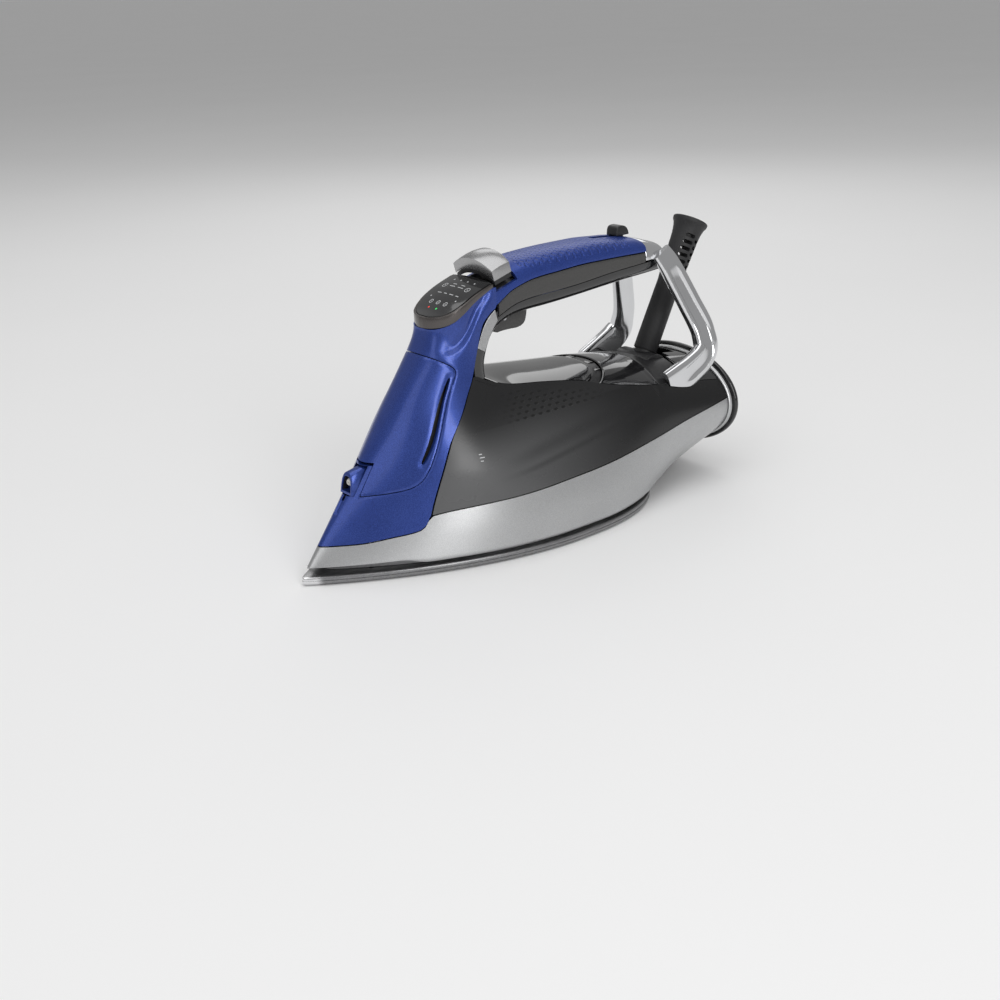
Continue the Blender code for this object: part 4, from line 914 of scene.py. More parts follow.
def makeHood():
    f = hoodForm
    rings = []
    for x, low, high, half in ((f["front"], f["low"] + 0.3, f["high"] - 2.6, f["half"] - 0.35),
                               (f["front"] + 0.35, f["low"], f["high"] - 2.2, f["half"]),
                               (f["front"] + 6, f["low"], f["high"] - 0.9, f["half"]),
                               (f["front"] + 12, f["low"], f["high"], f["half"]),
                               (f["rear"], f["low"], f["high"], f["half"])):
        rings.append(archRing(x, low, high, half, lean=f["lean"]))
    hood = loft("sprayHoodBody", rings, 40)
    pocket = [archRing(x, f["low"] + 1.5, f["high"] - 4.0, f["half"] - f["rim"], lean=f["lean"])
              for x in (f["front"] - 6, f["front"] + 4.6)]
    cut(hood, loft("hoodPocket", pocket))
    x, z = doorForm["pinX"], doorForm["pinZ"]
    cut(hood, rod("pinBore", (x, -20, z), (x, 20, z), doorForm["pinBore"]))
    dress(resmooth(hood, 40), "blue", replaces=["spray_hood"])

    def linerPoint(s, t):
        k = int(s * 25)
        x = lerp(f["front"] + 0.9, f["front"] + 4.7, t) + f["lean"] * archRing(0, 0, 9.8, 1)[k][2]
        _, y, z = archRing(0, f["low"] + 1.55, f["high"] - 4.05, f["half"] - f["rim"] - 0.05)[k]
        return x, y, z

    # a thin black skin that paints shade inside the hood's pocket
    dress(shell("hoodLiner", linerPoint, 25, 4, 0.15, inside=(35, 0, 49)), "black")
    nozzle = turned("sprayNozzleTip", [(0.6, 0), (1.3, 0), (1.6, 0.25), (2.2, 1.2), (2.2, 1.9), (1.9, 2.1), (1.9, 2.5),
                                       (2.2, 2.7), (2.2, 9.6), (0.6, 9.6)], (32.6, 0, 49.2), (1, 0, 0), 32)
    dress(nozzle, "white", replaces=["spray_nozzle"])


makeFront()
makeShadeLiner()
makeHood()
print("front shell, door and hood made")


# ---- tank and deck

tankForm = {"wall": 2.0, "frontHigh": 96.0, "frontLow": 31.6, "topShare": 0.3, "topInset": 2.6, "topSunk": 4.2}
deckForm = {"wall": 1.8, "gap": 0.3, "frontX": 117.0, "capX": 196.0, "capSweep": 18.0, "channelWidth": 9.0,
            "housingX": 233.0, "housingRearX": 259.0, "drumRoomHalf": 14.6, "guardRoomHalf": 8.2,
            "keyShares": (0.22, 0.52)}


def tankPoint(s, t):
    side = -1 if t < 0.5 else 1
    across = abs(2 * t - 1)
    f = tankForm
    if across > f["topShare"]:
        down = (across - f["topShare"]) / (1 - f["topShare"])
        frontZ = lerp(f["frontHigh"], f["frontLow"], down)
        x = lerp(blueEdge(max(min(frontZ, 96.5), 31.0)) + 0.7, shellRear, s)
        z = lerp(deckEdge(x), max(skirtTop(x), 31.3) + 0.3, down)
        if s == 0:
            z = frontZ
        return x, side * halfWidth(x, z), z
    x = lerp(blueEdge(f["frontHigh"]) + 0.7, shellRear, s)
    top = deckEdge(x)
    return x, side * (halfWidth(x, top) - f["topInset"]) * across / f["topShare"], top - f["topSunk"]


def makeTank():
    tank = shell("tankSkin", tankPoint, 130, 80, tankForm["wall"], sharp=30)
    cut(tank, block("tankRoom", (230, -22, 50), (274, 22, 90)))
    dress(resmooth(tank, 30), "smoke", replaces=["tank_shell"])


def deckPoint(front, rear):
    # front and rear give x for a share of the half width, so that an end can sweep forward at its sides
    def point(s, t):
        across = math.copysign(abs(2 * t - 1) ** 0.85, 2 * t - 1)
        x = lerp(front(abs(across)), rear(abs(across)), s)
        edge = deckEdge(x)
        wide = halfWidth(x, edge) - deckForm["gap"]
        roll = 0.5 * max(1 - min(s, 1 - s) / 0.03, 0) ** 2
        return x, wide * across, deckHeight(x, abs(across)) - roll
    return point


def deckHeight(x, share):
    # height of the domed deck at a share of its half width
    edge = deckEdge(x)
    return edge + deckForm["gap"] + (deckTop(x) - edge) * (1 - share ** 2.4)


def sunk(point, depth):
    def lower(s, t):
        x, y, z = point(s, t)
        return x, y * 0.985, z - depth
    return lower


def makeDeck():
    f = deckForm
    inside = (190, 0, 20)
    wall, gap = f["wall"], f["gap"]
    capEnd = lambda c: f["capX"] - f["capSweep"] * c ** 2.2
    channelEnd = lambda c: capEnd(c) + f["channelWidth"] - 1.5 * c
    housingFront = lambda c: f["housingX"] - 4.0 * c ** 2
    housingRear = lambda c: f["housingRearX"] - 3.0 * c ** 2
    cap = shell("deckCap", deckPoint(lambda c: f["frontX"], capEnd), 70, 50, wall, inside)
    dress(cap, "gloss_black", replaces=["deck_front"])
    channelPoint = sunk(deckPoint(lambda c: capEnd(c) + 0.2, lambda c: channelEnd(c) - 0.2), 1.0)
    dress(shell("deckChannel", channelPoint, 8, 50, 1.4, inside), "black", replaces=["deck_channel"])
    for k, c in enumerate(f["keyShares"]):
        for side in (-1, 1):
            x = (capEnd(c) + channelEnd(c)) / 2
            y = side * c * halfWidth(x, deckEdge(x))
            z = deckHeight(x, c + 0.06) - 1.2
            outline = [(x - 3.2, z - 0.6), (x + 3.2, z - 0.6), (x + 2.6, z + 0.7), (x - 2.6, z + 0.7)]
            key = prism(f"channelKey{k}{'L' if side > 0 else 'R'}", softened(outline, 2, True), y - 2.2, y + 2.2)
            dress(key, "gloss_black")
    middle = shell("deckBand", deckPoint(channelEnd, lambda c: housingFront(c) - gap), 40, 50, wall, inside)
    dress(middle, "gloss_black", replaces=["deck_middle"])
    floorPoint = sunk(deckPoint(housingFront, lambda c: housingRear(c) - gap), 0.7)
    floor = shell("guardFloor", floorPoint, 20, 50, wall, inside)
    drumHalf, guardHalf = f["drumRoomHalf"], f["guardRoomHalf"]
    cut(floor, block("drumHole", (241.2, -drumHalf, 50), (280, drumHalf, 90)))
    dress(resmooth(floor), "black", replaces=["guard_housing"])
    rear = shell("deckRear", deckPoint(housingRear, lambda c: shellRear), 30, 50, wall, inside)
    cut(rear, block("drumRoom", (250, -drumHalf, 50), (262.5, drumHalf, 90)))
    cut(rear, block("guardRoom", (250, -guardHalf, 50), (273.5, guardHalf, 90)))
    dress(resmooth(rear), "gloss_black", replaces=["deck_rear"])


levelMark = {"x": 90.5, "z": 58.0, "long": 2.6, "line": 0.45, "step": 1.7}


def makeLevelMark():
    # three plain strokes beside the water line, on both flanks
    f = levelMark
    marks = []
    for side in (1, -1):
        for k, long in enumerate((0.6 * f["long"], f["long"], 0.6 * f["long"])):
            x, z = f["x"], f["z"] + (k - 1) * f["step"]
            outline = [(x, z), (x + long, z), (x + long, z + f["line"]), (x, z + f["line"])]
            rings = [[(x, side * (halfWidth(x, h) + grow), h) for x, h in outline] for grow in (-0.2, 0.05)]
            marks.append(loft("mark", rings))
    dress(join("levelMarks", marks), "smoke", paint="printing")


makeTank()
makeLevelMark()
makeDeck()
print("tank and deck made")


# ---- handle

gripFront, gripEnd = bodyForm["gripFrontX"], bodyForm["gripEndX"]
coverForm = {"wall": 2.0, "seam": 0.3, "lead": 0.25, "blendX": 123.3, "blendLong": 18.0, "blendTopZ": 143.0,
             "slotStart": 208.6, "slotEnd": 234.4, "slotHalf": 2.3}
stripForm = {"wall": 1.6, "start": 1.5}
inlayForm = {"front": [(121.6, 129.0), (115.0, 123.8), (111.4, 117.0), (108.6, 110.2)],
             "back": [(113.6, 107.3), (116.6, 113.4), (119.9, 118.8), (123.2, 122.6)],
             "from": gripHalf - 0.4, "to": gripHalf + 0.4}


def gripArch(x, t, low, inset=0.0, drop=None):
    # upper half of the grip's section, from one side over the top to the other
    angle = math.pi * t
    wide = gripHalfWidth(x) - inset
    high = handleTop(x) - (inset if drop is None else drop)
    y = -wide * math.copysign(abs(math.cos(angle)) ** 0.72, math.cos(angle))
    return x, y, low + (high - low) * math.sin(angle) ** 0.80


def coverPoint(s, t):
    f = coverForm
    x = lerp(gripFront - f["lead"], gripEnd, s)
    x, y, z = gripArch(x, t, coverEdge(x) + f["seam"])
    x -= (gripFront - 0.35 - blueEdge(z)) * (1 - s) ** 8
    # at its front the cover takes over the flank of the shell before it
    side = math.copysign(halfWidth(x, z) - 0.05, y)
    blend = (1 - smooth((x - f["blendX"]) / f["blendLong"])) * smooth((f["blendTopZ"] - z) / 5)
    return x, lerp(y, side, blend), z


def coverInside(s, t):
    x = lerp(gripFront - coverForm["lead"], gripEnd, s)
    return gripArch(x, t, coverEdge(x) + coverForm["seam"], coverForm["wall"])


def stripPoint(side):
    def point(s, t):
        x = lerp(gripFront + stripForm["start"], gripEnd, s)
        roll = 0.25 * max(abs(2 * t - 1) - 0.8, 0) / 0.2
        return x, side * (gripHalfWidth(x) - 0.5 - roll), lerp(stripEdge(x) + 0.1, coverEdge(x) - 0.6, t)
    return point


underForm = {
    "wall": 1.8, "depth": 8.0, "footDepth": 9.4,
    "line": [(253, 129.2), (245, 128.6), (220, 127.6), (186, 125.0), (163, 123.6), (148, 123.3), (137, 122.4),
             (129.0, 120.0), (124.0, 117.2), (120.4, 112.6), (118.0, 107.0), (116.2, 101.0), (116.2, 96.6),
             (116.9, 93.0)],
}
triggerForm = {"x": 131.5, "z": 121.8, "half": 7.5, "bore": 1.5, "mouthGap": 0.3}


def underSection(centre, out, depth, half):
    wall = underForm["wall"]
    outer = [(-half, depth), (-half, 4.0), (-half + 1.6, 1.2), (-half + 4.6, 0.0), (half - 4.6, 0.0),
             (half - 1.6, 1.2), (half, 4.0), (half, depth)]
    inner = [(half - wall, depth), (half - wall, 4.6), (half - 3.0, 2.6), (half - 5.2, wall), (-half + 5.2, wall),
             (-half + 3.0, 2.6), (-half + wall, 4.6), (-half + wall, depth)]
    outer = softened(outer, 2)
    inner = softened(inner, 2)
    return [centre + Vector((0, y, 0)) + out * d for y, d in outer + inner]


def makeUnder():
    line = softened(underForm["line"], 2)
    sections = []
    for i, (x, z) in enumerate(line):
        before = line[max(i - 1, 0)]
        after = line[min(i + 1, len(line) - 1)]
        along = Vector((after[0] - before[0], 0, after[1] - before[1])).normalized()
        out = Vector((along.z, 0, -along.x))
        depth = lerp(underForm["depth"], underForm["footDepth"], smooth((139 - x) / 18))
        sections.append(underSection(Vector((x, 0, z)), out, depth, gripHalfWidth(x) - 0.7))
    under = loft("gripUnderside", sections)
    xs = [gripFront + 0.4, *range(126, 256, 4)]
    above = [(x, stripEdge(x) - 0.3) for x in xs]
    cut(under, prism("overStrip", above + [(xs[-1], 160), (xs[0], 160)], -40, 40))
    x, half = triggerForm["x"], triggerForm["half"] + triggerForm["mouthGap"]
    cut(under, block("triggerMouth", (x - 3.6, -half, 108), (x + 25, half, 129)))
    dress(resmooth(under, 40), "gloss_black", replaces=["handle_under"])


def makeHandle():
    f = coverForm
    cover = shell("gripCover", coverPoint, 120, 72, f["wall"], (190, 0, 120), innerPoint=coverInside)
    cut(cover, block("sliderSlot", (f["slotStart"], -f["slotHalf"], 140), (f["slotEnd"], f["slotHalf"], 158)))
    cut(cover, buttonSeat())
    dress(resmooth(cover, 40), "blue", paint="dimpled", replaces=["handle_cover"])
    inlayOutline = softened(inlayForm["front"]) + softened(inlayForm["back"])
    for name, side in (("left", 1), ("right", -1)):
        strip = shell(f"gripStrip_{name}", stripPoint(side), 80, 12, stripForm["wall"], (190, 0, 136))
        dress(strip, "dark_grey", replaces=[f"handle_strip_{name}"])
        low, high = sorted((side * inlayForm["from"], side * inlayForm["to"]))
        inlay = prism(f"gripInlay_{name}", inlayOutline, low, high)
        dress(roundEdges(inlay, 0.3), "silver", replaces=[f"grip_clip_{name}"])
    makeUnder()


# ---- boost button, slider and trigger

buttonForm = {"x": 129.0, "z": 145.4, "tilt": 16.0, "half": 6.3, "wide": 16.4, "height": 5.6, "crown": 5.4,
              "travel": 2.5, "edge": 0.65}


def tilted(x, y, z):
    # a point given along the button's own slope
    angle = math.radians(buttonForm["tilt"])
    return (buttonForm["x"] + x * math.cos(angle) - z * math.sin(angle), y,
            buttonForm["z"] + x * math.sin(angle) + z * math.cos(angle))


def buttonSeat():
    low = -buttonForm["travel"] - 2.9
    rear = buttonForm["half"] + 0.3 * buttonForm["crown"] + 0.3
    corners = [(-14, low), (rear, low), (rear, 22), (-14, 22)]
    return loft("buttonSeat", [[tilted(x, y, z) for x, z in corners] for y in (-24, 24)])


def buttonRings(half, wide, low, high, crown):
    rings = []
    for k in range(49):
        y = wide * math.sin(math.pi * (k / 48 - 0.5))
        arch = crown * (1 - (abs(y) / wide) ** 2.2)
        rings.append([tilted(-half, y, low + arch * 0.86), tilted(half, y, low + arch * 0.86),
                      tilted(half + arch * 0.3, y, high + arch * 0.9), tilted(half * 0.5, y, high + arch + 0.38),
                      tilted(0, y, high + arch + 0.5), tilted(-half * 0.5, y, high + arch + 0.34),
                      tilted(-half, y, high + arch)])
    return rings


def makeButton():
    half, wide, crown, travel = (buttonForm[key] for key in ("half", "wide", "crown", "travel"))
    button = loft("boostKey", buttonRings(half, wide, 0.0, buttonForm["height"], crown), 30)
    button = roundEdges(button, buttonForm["edge"], 3, 30)
    dress(button, "silver", body="button", paint="button", replaces=["boost_button"])
    foot = loft("boostKeyFoot", buttonRings(half - 0.35, wide - 0.45, -2.6, -0.4, crown), 30)
    dress(foot, "black", body="button")
    collar = loft("boostCollar", buttonRings(half - 0.2, wide - 0.6, -travel - 5.0, -travel - 3.6, crown * 0.9), 30)
    dress(collar, "black", replaces=["button_collar"])


sliderForm = {"x": 231.5, "half": 5.3, "lift": 0.6, "tabHalf": 4.3, "neckHalf": 1.9}


def makeSlider():
    f = sliderForm
    x, half = f["x"], f["half"]
    low = handleTop(x) + f["lift"]
    outline = softened([(x - half, low), (x - half + 0.5, low + 4.6), (x - half + 2.8, low + 5.8),
                        (x + 1.5, low + 5.6), (x + half - 1, low + 3.4), (x + half, low)], 1)
    tab = roundEdges(prism("steamTab", outline, -f["tabHalf"], f["tabHalf"]), 0.9, 4, 30)
    dress(tab, "black", body="slider", replaces=["steam_slider"])
    neck = block("steamTabNeck", (x - 2.6, -f["neckHalf"], low - 5.5), (x + 2.6, f["neckHalf"], low + 0.4))
    dress(neck, "black", body="slider")
    foot = block("steamTabFoot", (x - 5.5, -5, low - 6.5), (x + 5.5, 5, low - 5))
    dress(roundEdges(foot, 0.3), "black", body="slider")


def makeTrigger():
    f = triggerForm
    x, z = f["x"], f["z"]
    outline = softened([(x - 2.6, z + 2.4), (x - 3.0, z - 1.0), (x - 2.4, 112.2), (x + 4.5, 113.2),
                        (x + 19.5, 112.6), (x + 21.9, 121.4), (x + 21.0, z + 1.4)], 2, True)
    trigger = prism("steamTriggerKey", outline, -f["half"], f["half"])
    cut(trigger, rod("triggerBore", (x, -20, z), (x, 20, z), f["bore"]))
    dress(roundEdges(trigger, 0.8, 4, 50), "dark_grey", body="trigger", replaces=["steam_trigger"])


# ---- panel

panelForm = {
    "rearX": 121.0, "tipLong": 19.0, "rimInset": 1.5, "glassLift": 0.35, "glassCrown": 1.4,
    "markHeight": 0.05, "markSunk": -0.2, "stroke": 0.32, "barHalf": 0.22,
    "rings": [(97.5, -6.0, 1.3), (97.5, 0.0, 1.3), (97.5, 6.0, 1.3), (110.0, -9.5, 1.7), (110.0, 9.5, 1.7)],
    "bars": [(104.0, -8.0, 2.4), (104.0, -3.2, 3.2), (104.0, 1.8, 2.4), (104.0, 6.8, 3.0), (110.0, -3.6, 4.2),
             (112.0, -3.6, 3.0), (110.0, 3.2, 4.2), (112.0, 3.2, 3.0)],
    "dots": [(101.0, -10.5, 0.45), (101.0, 10.5, 0.45), (115.8, -8.5, 0.5), (115.8, -2.8, 0.5), (115.8, 2.8, 0.5),
             (115.8, 8.5, 0.5)],
    "lamps": [("lampGreen", 93.5, -3.2, 0.55), ("lampRed", 93.5, 3.2, 0.55)],
}
panelTip = ridgeX(122)


def panelHalfWidth(x):
    run = (x - panelTip) / panelForm["tipLong"]
    tip = math.sqrt(max(1 - (1 - min(max(run, 0), 1)) ** 2.3, 0))
    return (gripHalf - 0.2) * tip


def panelPlate(name, inset, foot, high, crown):
    start = panelTip + inset
    rings = []
    for k in range(61):
        share = (k / 60) ** 2
        x = lerp(start + 0.05, panelForm["rearX"] - inset * 0.2, share)
        wide = max(panelHalfWidth(x - inset * 0.55) - inset, 0.6)
        ring = []
        for j in range(33):
            y = wide * math.cos(math.pi * j / 32)
            ring.append((x, y, panelTop(x) + high + crown * (1 - (y / (gripHalf + 1)) ** 2)))
        for j in range(5):
            ring.append((x, wide * (j / 2 - 1), foot(x)))
        rings.append(ring)
    return loft(name, rings, 40)


def glassPoint(x, y, lift):
    crown = panelForm["glassCrown"] * (1 - (y / (gripHalf + 1)) ** 2)
    return x, y, panelTop(x) + panelForm["glassLift"] + crown + lift


def mark(outline):
    return loft("mark", [[glassPoint(x, y, panelForm[level]) for x, y in outline]
                         for level in ("markSunk", "markHeight")])


def circle(x, y, r, sides=20):
    angles = [2 * math.pi * k / sides for k in range(sides)]
    return [(x + r * math.cos(angle), y + r * math.sin(angle)) for angle in angles]


def makePanel():
    f = panelForm
    rim = panelPlate("panelFrame", 0.0, panelFoot, 0.0, 1.2)
    cut(rim, panelPlate("panelRecess", 1.2, lambda x: panelTop(x) - 0.9, 4.0, 3.0))
    dress(roundEdges(rim, 0.25, 2, 35), "dark_grey", paint="bronze", replaces=["panel_rim"])
    glass = panelPlate("panelFace", f["rimInset"], lambda x: panelTop(x) - 0.6, f["glassLift"],
                       f["glassCrown"])
    dress(glass, "gloss_black", replaces=["panel_glass"])
    marks = []
    low, high = f["markSunk"], f["markHeight"]
    for x, y, r in f["rings"]:
        band = [[glassPoint(*a, low), glassPoint(*a, high), glassPoint(*b, high), glassPoint(*b, low)]
                for a, b in zip(circle(x, y, r, 24), circle(x, y, r - f["stroke"], 24))]
        marks.append(loft("mark", band, closed=True))
        marks.append(mark(circle(x, y, r * 0.22, 12)))
    for x, y, long in f["bars"]:
        w, h = f["barHalf"], long / 2
        marks.append(mark([(x - w, y - h), (x + w, y - h), (x + w, y + h), (x - w, y + h)]))
    for x, y, r in f["dots"]:
        marks.append(mark(circle(x, y, r)))
    dress(join("panelMarks", marks), "gloss_black", paint="printing")
    for name, x, y, r in f["lamps"]:
        lens = mark(circle(x, y, r))
        lens.name = name
        dress(lens, "gloss_black", paint=name)


makeHandle()
makeButton()
makeSlider()
makeTrigger()
makePanel()
print("handle, keys and panel made")


# ---- heel

heelForm = {"thick": 3.4, "rim": 3.6, "count": 120}


def ovalRing(x, grow):
    ring = []
    for k in range(heelForm["count"]):
        angle = 2 * math.pi * k / heelForm["count"]
        ring.append((x, (bodyForm["heelHalfWidth"] + grow) * math.cos(angle),
                     heelZ + (bodyForm["heelHalfHeight"] + grow) * math.sin(angle)))
    return ring


def ovalBand(name, stations, closed=True, sharp=35):
    return loft(name, [ovalRing(x, g) for x, g in stations], sharp, closed)


def makeHeel():
    front = heelX - 2.7
    rear = heelX + heelForm["thick"]
    rim = heelForm["rim"]
    collar = ovalBand("heelRing", [(front, 0.6), (front + 0.3, 0.95), (heelX - 0.7, 1.4), (heelX - 0.3, 1.1),
                                   (heelX - 0.3, -6.0), (front, -6.0)])
    dress(collar, "silver", replaces=["heel_collar"])
    edge = softened([(heelX, rim - 0.8), (heelX + 0.9, rim), (rear - 0.9, rim), (rear, rim - 0.9), (rear, 1.8),
                     (rear - 0.7, 0.9), (rear - 0.7, -0.4), (heelX, -0.4)], 2, True)
    dress(ovalBand("heelRail", edge), "gloss_black", replaces=["heel_rim"])
    face = rear - 1.2
    steps = [(heelX, -0.7), (face - 0.3, -0.7), (face, -1.1), (face, -4.0), (face - 0.7, -4.6), (face - 0.7, -6.4),
             (face, -7.0), (face, -13.0), (face - 0.5, -13.5), (face - 0.5, -15.0), (face, -15.5), (face, -24.0)]
    dress(ovalBand("heelFace", steps, closed=False), "black", replaces=["heel_plate"])


# ---- bracket

legStations = [
    # x, y, z of the centre line, then width and thickness
    (248.5, 18.6, 141.0, 13.0, 4.6), (252.5, 20.6, 134.6, 14.4, 5.2), (257.0, 22.8, 126.0, 15.2, 5.6),
    (264.0, 27.6, 110.0, 15.6, 6.2), (270.4, 33.4, 92.6, 16.6, 7.2), (271.0, 36.0, 83.4, 17.8, 7.8),
    (265.4, 37.4, 76.6, 19.0, 7.8), (256.4, 37.2, 71.6, 19.4, 7.6), (246.4, 36.4, 67.6, 19.4, 7.4),
    (238.0, 35.6, 64.6, 19.0, 7.0),
]
bracketForm = {"web": 1.5, "webFrom": 1.2, "webTo": 8.2, "stepsPerStation": 7, "capLow": 137.4, "endLow": 129.6}


def makeLeg(side):
    f = bracketForm
    curves = [curve([(i, row[axis]) for i, row in enumerate(legStations)]) for axis in range(5)]
    steps = (len(legStations) - 1) * f["stepsPerStation"]
    stations = [i / f["stepsPerStation"] for i in range(steps + 1)]
    rings = []
    for at in stations:
        centre = Vector([c(at) for c in curves[:3]])
        width, thick = curves[3](at), curves[4](at)
        along = (Vector([c(at + 0.3) for c in curves[:3]]) - Vector([c(at - 0.3) for c in curves[:3]])).normalized()
        across = along.cross(Vector((0, 1, 0))).normalized()
        through = along.cross(across)
        sink = f["web"] * smooth((at - f["webFrom"]) / 1.2) * smooth((f["webTo"] - at) / 1.5)
        ring = []
        for k in range(64):
            angle = 2 * math.pi * (k + 0.5) / 64
            a = math.copysign(abs(math.cos(angle)) ** 0.6, math.cos(angle))
            b = math.copysign(abs(math.sin(angle)) ** 0.6, math.sin(angle))
            deep = b * thick / 2
            if b < 0:   # the outer face has a hollow web between two rails
                deep += sink * smooth((a + 0.62) / 0.16) * smooth((0.42 - a) / 0.16)
            p = centre + across * (a * width / 2) + through * deep
            ring.append((p.x, side * p.y, p.z))
        rings.append(ring)
    return loft(f"bracketLeg{side}", rings, 50)


def bodyEnvelope(grow):
    rings = []
    for x in np.linspace(215, heelX - 2, 60):
        edge = deckEdge(x)
        low = heelZ - 6
        up = [(halfWidth(x, lerp(low, edge, k / 24)) + grow, lerp(low, edge, k / 24)) for k in range(25)]
        wide = up[-1][0]
        rise = deckTop(x) - edge
        over = [(wide * c, edge + 0.3 + grow + rise * (1 - abs(c) ** 2.4)) for c in np.linspace(0.97, 0.05, 16)]
        right = up + over
        rings.append([(x, y, z) for y, z in right] + [(x, -y, z) for y, z in reversed(right)])
    return loft("bodyEnvelope", rings)


def makeBracket():
    end, capLow, endLow = bodyForm["underEndX"], bracketForm["capLow"], bracketForm["endLow"]
    stations = [(gripEnd + 0.3, 0.35, capLow), (gripEnd + 0.7, 0.0, capLow), (244, 0.0, capLow),
                (end + 0.2, 0.0, capLow), (end + 0.5, 0.0, endLow), (255.4, 0.25, endLow), (257.0, 0.8, endLow + 0.2),
                (258.4, 1.5, 130.3), (259.4, 2.4, 131.0), (260.1, 3.6, 131.9), (260.6, 5.0, 133.0)]
    rings = [[gripArch(x, k / 56, low, shrink, shrink * 0.8) for k in range(57)] for x, shrink, low in stations]
    bracket = loft("bracketCap", rings, 50)
    for side in (1, -1):
        cut(bracket, makeLeg(side), "UNION")
    cut(bracket, bodyEnvelope(0.5))
    dress(resmooth(bracket, 45), "chrome", replaces=["rear_bracket"])


# ---- cord guard

guardForm = {
    "pivot": (250.0, 0.0, 66.0), "lean": 27.7, "length": 96.5, "radius": 7.3, "mouth": 10.9, "bore": 3.8,
    "drumRadius": 11.5, "drumHalf": 14.0, "drumBore": 6.3, "tube": 56.0,
    "slots": 7, "slotStep": 4.1, "slotStart": 5.4, "slotOut": 3.5, "slotHalf": 2.9, "slotHeight": 1.15,
}


def slotTool(centre, axis, first, half, height):
    ring = []
    for k in range(20):
        angle = 2 * math.pi * k / 20
        out = math.copysign(max(half - height, 0), math.cos(angle)) + height * math.cos(angle)
        ring.append(first * out + axis * (height * math.sin(angle)))
    return loft("slotTool", [[centre + Vector((0, y, 0)) + r for r in ring] for y in (-14, 14)])


def makeGuard():
    f = guardForm
    lean = math.radians(f["lean"])
    axis = Vector((math.sin(lean), 0, math.cos(lean)))
    first = Vector((math.cos(lean), 0, -math.sin(lean)))
    base = Vector(f["pivot"])
    shoulder = f["drumRadius"] + 0.6
    length, mouth, tube = f["length"], f["mouth"], f["tube"]
    outer = [(f["bore"], 5.0), (6.0, 5.0), (6.0, shoulder), (f["radius"] - 0.4, shoulder),
             (f["radius"], shoulder + 0.5), (f["radius"] - 0.1, tube - 6), (f["radius"] - 0.2, tube), (7.7, tube + 8),
             (8.4, length - 12), (8.75, length - 8.5), (9.2, length - 6), (9.9, length - 3.8),
             (10.5, length - 2.9), (mouth, length - 1.8), (mouth, length - 0.5), (mouth - 0.5, length)]
    inner = [(mouth - 1.6, length), (mouth - 2.2, length - 0.5), (6.2, length - 5), (5.2, length - 9.5),
             (f["bore"] + 0.8, length - 14), (f["bore"], tube)]
    guard = turned("cordSleeve", outer + inner, base, axis, 96)
    slots = []
    for k in range(f["slots"]):
        for column in (-1, 1):
            if column > 0 and k == f["slots"] - 1:
                continue
            up = tube + f["slotStart"] + f["slotStep"] * (k + (0.5 if column > 0 else 0))
            at = base + axis * up + first * (column * f["slotOut"])
            slots.append(slotTool(at, axis, first, f["slotHalf"], f["slotHeight"]))
    for slot in slots:
        cut(guard, slot)
    dress(resmooth(guard, 40), "rubber_black", body="guard", replaces=["cord_guard"])

    end = Vector((0, f["drumHalf"], 0))
    drum = roundEdges(rod("cordDrum", base - end, base + end, f["drumRadius"], 72), 0.5)
    cut(drum, rod("drumBore", base - axis * 30, base + axis * 30, f["drumBore"], 48))
    dress(resmooth(drum, 40), "black", body="drum", replaces=["guard_drum"])


makeHeel()
makeBracket()
makeGuard()
print("heel, bracket and cord guard made")


# ---- floor, light and camera

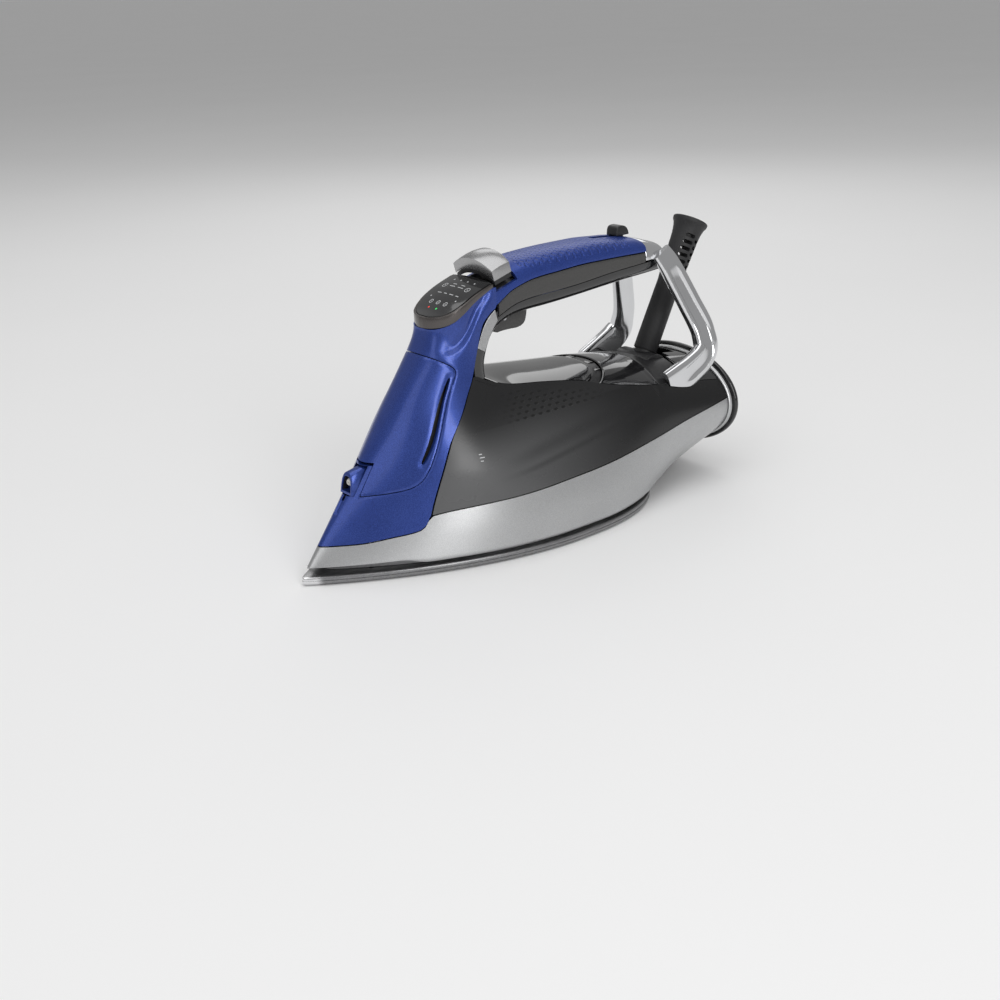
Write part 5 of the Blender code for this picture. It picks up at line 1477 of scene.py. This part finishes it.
studio = {
    "cameraAt": (-312.1, -543.5, 293.0), "lookAt": (135.74, 0, 10.28), "roll": -1.79, "lens": 46.8,
    "world": 0.36, "floorHalf": 60, "floorZ": -0.0004,
    "lights": [   # name, place and aim in metres, size, power
        ("overhead", (-0.1, 0.1, 1.7), (0, 0, 0.05), (2.0, 1.8), 14.0),
        ("frontSoftbox", (-0.28, -1.35, 0.75), (0, 0, 0.05), (0.4, 1.2), 7.0),
        ("leftSoftbox", (-1.1, -0.45, 0.6), (0, 0, 0.08), (0.5, 0.8), 1.2),
        ("rearSoftbox", (0.9, 0.9, 0.8), (0, 0, 0.06), (0.8, 0.6), 1.6),
    ],
}


def areaLight(name, at, toward, size, power):
    data = bpy.data.lights.new(name, "AREA")
    data.shape = "RECTANGLE"
    data.size, data.size_y = size
    data.energy = power
    light = bpy.data.objects.new(name, data)
    light.location = at
    light.rotation_euler = (Vector(toward) - Vector(at)).to_track_quat("-Z", "Y").to_euler()
    bpy.context.scene.collection.objects.link(light)


def makeFloor():
    mesh = bpy.data.meshes.new("studioFloor")
    far, z = studio["floorHalf"], studio["floorZ"]
    mesh.from_pydata([(-far, -far, z), (far, -far, z), (far, far, z), (-far, far, z)], [], [(0, 1, 2, 3)])
    floor = bpy.data.objects.new("studioFloor", mesh)
    bpy.context.scene.collection.objects.link(floor)
    p = Paint("studioFloor")
    mesh.materials.append(p.set(colour=p.mix(p.noise(3.0), (0.90, 0.90, 0.90), (0.93, 0.93, 0.93)), rough=0.9,
                                specular=0.1))


def makeStudio():
    makeFloor()
    world = bpy.data.worlds.new("studioLight")
    bpy.context.scene.world = world
    world.use_nodes = True
    background = world.node_tree.nodes["Background"]
    background.inputs[0].default_value = (1, 1, 1, 1)
    background.inputs[1].default_value = studio["world"]
    for row in studio["lights"]:
        areaLight(*row)
    data = bpy.data.cameras.new("camera")
    data.lens = studio["lens"]
    data.sensor_width = 36
    data.clip_start = 0.01
    camera = bpy.data.objects.new("camera", data)
    at, aim = place(studio["cameraAt"]), place(studio["lookAt"])
    turn = (aim - at).to_track_quat("-Z", "Y").to_matrix().to_4x4()
    roll = Matrix.Rotation(math.radians(studio["roll"]), 4, "Z")
    camera.matrix_world = Matrix.Translation(at) @ turn @ roll
    bpy.context.scene.collection.objects.link(camera)
    bpy.context.scene.camera = camera
    bpy.context.scene.view_settings.view_transform = "Standard"


makeStudio()
print("studio made")
